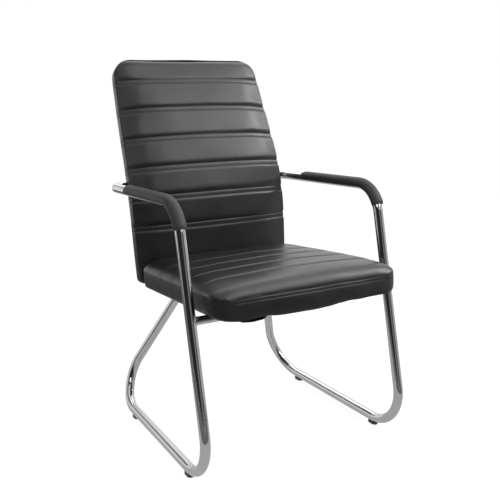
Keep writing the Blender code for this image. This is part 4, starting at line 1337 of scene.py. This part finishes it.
# %% Floor and world
FLOOR_PAINT, FLOOR_GLOW, FLOOR_GLOW_SHARE = 0.86, 1.2, 0.75
WORLD_LIGHT, WORLD_WHITE = 0.5, 1.0


def emptied_tree(holder):
    """The node tree of a material or a world, without its first nodes."""
    holder.use_nodes = True
    holder.node_tree.nodes.clear()
    return holder.node_tree


def seen_directly(tree):
    """1 for rays from the camera, off mirrors and through glass, 0 for those that light the chair."""
    path = node(tree, "ShaderNodeLightPath")
    seen = math_node(tree, "MAXIMUM", path.outputs["Is Camera Ray"], path.outputs["Is Glossy Ray"])
    return math_node(tree, "MAXIMUM", seen, path.outputs["Is Transmission Ray"])


def stage_piece(name, bm, material):
    mesh = mesh_from(name, bm)
    mesh.materials.append(material)
    made = into_scene(name, mesh)
    return made


def make_floor():
    bm = bmesh.new()
    bmesh.ops.create_grid(bm, x_segments=1, y_segments=1, size=14)
    material = bpy.data.materials.new("floor_paint")
    tree = emptied_tree(material)
    paint = node(tree, "ShaderNodeBsdfDiffuse", {"Color": grey(FLOOR_PAINT)})
    glow = node(tree, "ShaderNodeEmission", {"Strength": FLOOR_GLOW})
    share = math_node(tree, "MULTIPLY", seen_directly(tree), FLOOR_GLOW_SHARE)
    mix = node(tree, "ShaderNodeMixShader", {"Fac": share, 1: paint.outputs[0], 2: glow.outputs[0]})
    node(tree, "ShaderNodeOutputMaterial", {"Surface": mix.outputs[0]})
    stage_piece("floor", bm, material)


def make_world():
    world = bpy.data.worlds.new("studio")
    bpy.context.scene.world = world
    tree = emptied_tree(world)
    light = node(tree, "ShaderNodeBackground", {"Color": grey(1), "Strength": WORLD_LIGHT})
    white = node(tree, "ShaderNodeBackground", {"Color": grey(1), "Strength": WORLD_WHITE})
    values = {"Fac": seen_directly(tree), 1: light.outputs[0], 2: white.outputs[0]}
    mix = node(tree, "ShaderNodeMixShader", values)
    node(tree, "ShaderNodeOutputWorld", {"Surface": mix.outputs[0]})


make_floor()
make_world()
print("floor and world are white")

# %% Soft boxes
BOX_TARGET = Vector((0, 0.15, 0.75))


def soft_box(name, place, width, height, power):
    lamp = bpy.data.lights.new(name, "AREA")
    lamp.shape = "RECTANGLE"
    lamp.size, lamp.size_y, lamp.energy = width, height, power
    box = into_scene(name, lamp)
    box.location = place
    box.rotation_euler = (BOX_TARGET - Vector(place)).to_track_quat("-Z", "Y").to_euler()


soft_box("key_box", (1.62, -2.72, 3.60), 1.6, 2.8, 46)
soft_box("side_box", (2.80, -1.00, 2.60), 1.5, 0.9, 52)
soft_box("fill_box", (-1.9, -2.3, 2.3), 1.4, 1.0, 14)
print("soft boxes:", len(bpy.data.lights))

# %% Cards that only reflections show
CAMERA_AZIMUTH = math.radians(-90 + CAMERA_YAW)
CARD_DISTANCE, STANDING_STEPS = 3.2, 24
CARD_LEVEL, LYING_STEPS = 0.0004, 36
STANDING_CARDS = (  # name, azimuths from the camera's in degrees, lower and upper edge, brightness
    ("front_cloth", -60, 18, -0.1, 1.9, 0.03),
    ("front_middle_cloth", 18, 42, -0.1, 1.7, 0.25),
    ("left_gobo", -60, 37, 1.9, 4.2, 0.12),
    ("rear_sky", 150, 215, 1.3, 2.4, 1.35),
    ("rear_top", 145, 215, 2.4, 6.0, 2.2),
    ("right_top", 85, 145, 3.7, 8.0, 2.4),
    ("rear_left_top", 215, 300, 1.4, 5.0, 0.3),
    ("front_left_cloth", 42, 66, -0.1, 1.5, 0.12),
    ("front_right_cloth", -85, -60, -0.1, 1.7, 0.42),
    ("right_cloth", 66, 125, -0.1, 1.8, 0.62),
)
LYING_CARDS = (  # the same, with the inner and outer edge's distances
    ("near_floor_cloth", 0, 360, 0.02, 0.85, 0.6),
    ("far_floor_cloth", -150, 75, 0.85, 3.1, 0.2),
    ("rear_floor_cloth", 75, 210, 0.85, 3.1, 0.6),
)


def add_card(name, first, last, edges, brightness, steps):
    """A strip round the chair from one azimuth to another. Each edge is a (distance, height)."""
    bm = bmesh.new()
    rows = []
    for k in range(steps + 1):
        angle = math.radians(first + (last - first) * k / steps) + CAMERA_AZIMUTH
        rows.append([bm.verts.new((r * math.cos(angle), r * math.sin(angle), z)) for r, z in edges])
    weave(bm, rows)
    material = bpy.data.materials.new(name)
    tree = emptied_tree(material)
    glow = node(tree, "ShaderNodeEmission", {"Strength": brightness})
    node(tree, "ShaderNodeOutputMaterial", {"Surface": glow.outputs[0]})
    card = stage_piece(name, bm, material)
    card.visible_camera = card.visible_diffuse = card.visible_shadow = False


for name, first, last, low, high, brightness in STANDING_CARDS:
    edges = ((CARD_DISTANCE, low), (CARD_DISTANCE, high))
    add_card(name, first, last, edges, brightness, STANDING_STEPS)
for name, first, last, near, far, brightness in LYING_CARDS:
    add_card(name, first, last, ((near, CARD_LEVEL), (far, CARD_LEVEL)), brightness, LYING_STEPS)
print("cards:", len(STANDING_CARDS) + len(LYING_CARDS))

# %% [markdown]
# ## Colour management
#
# The standard view shows colours as they are written.

# %% Finish
bpy.context.scene.view_settings.view_transform = "Standard"
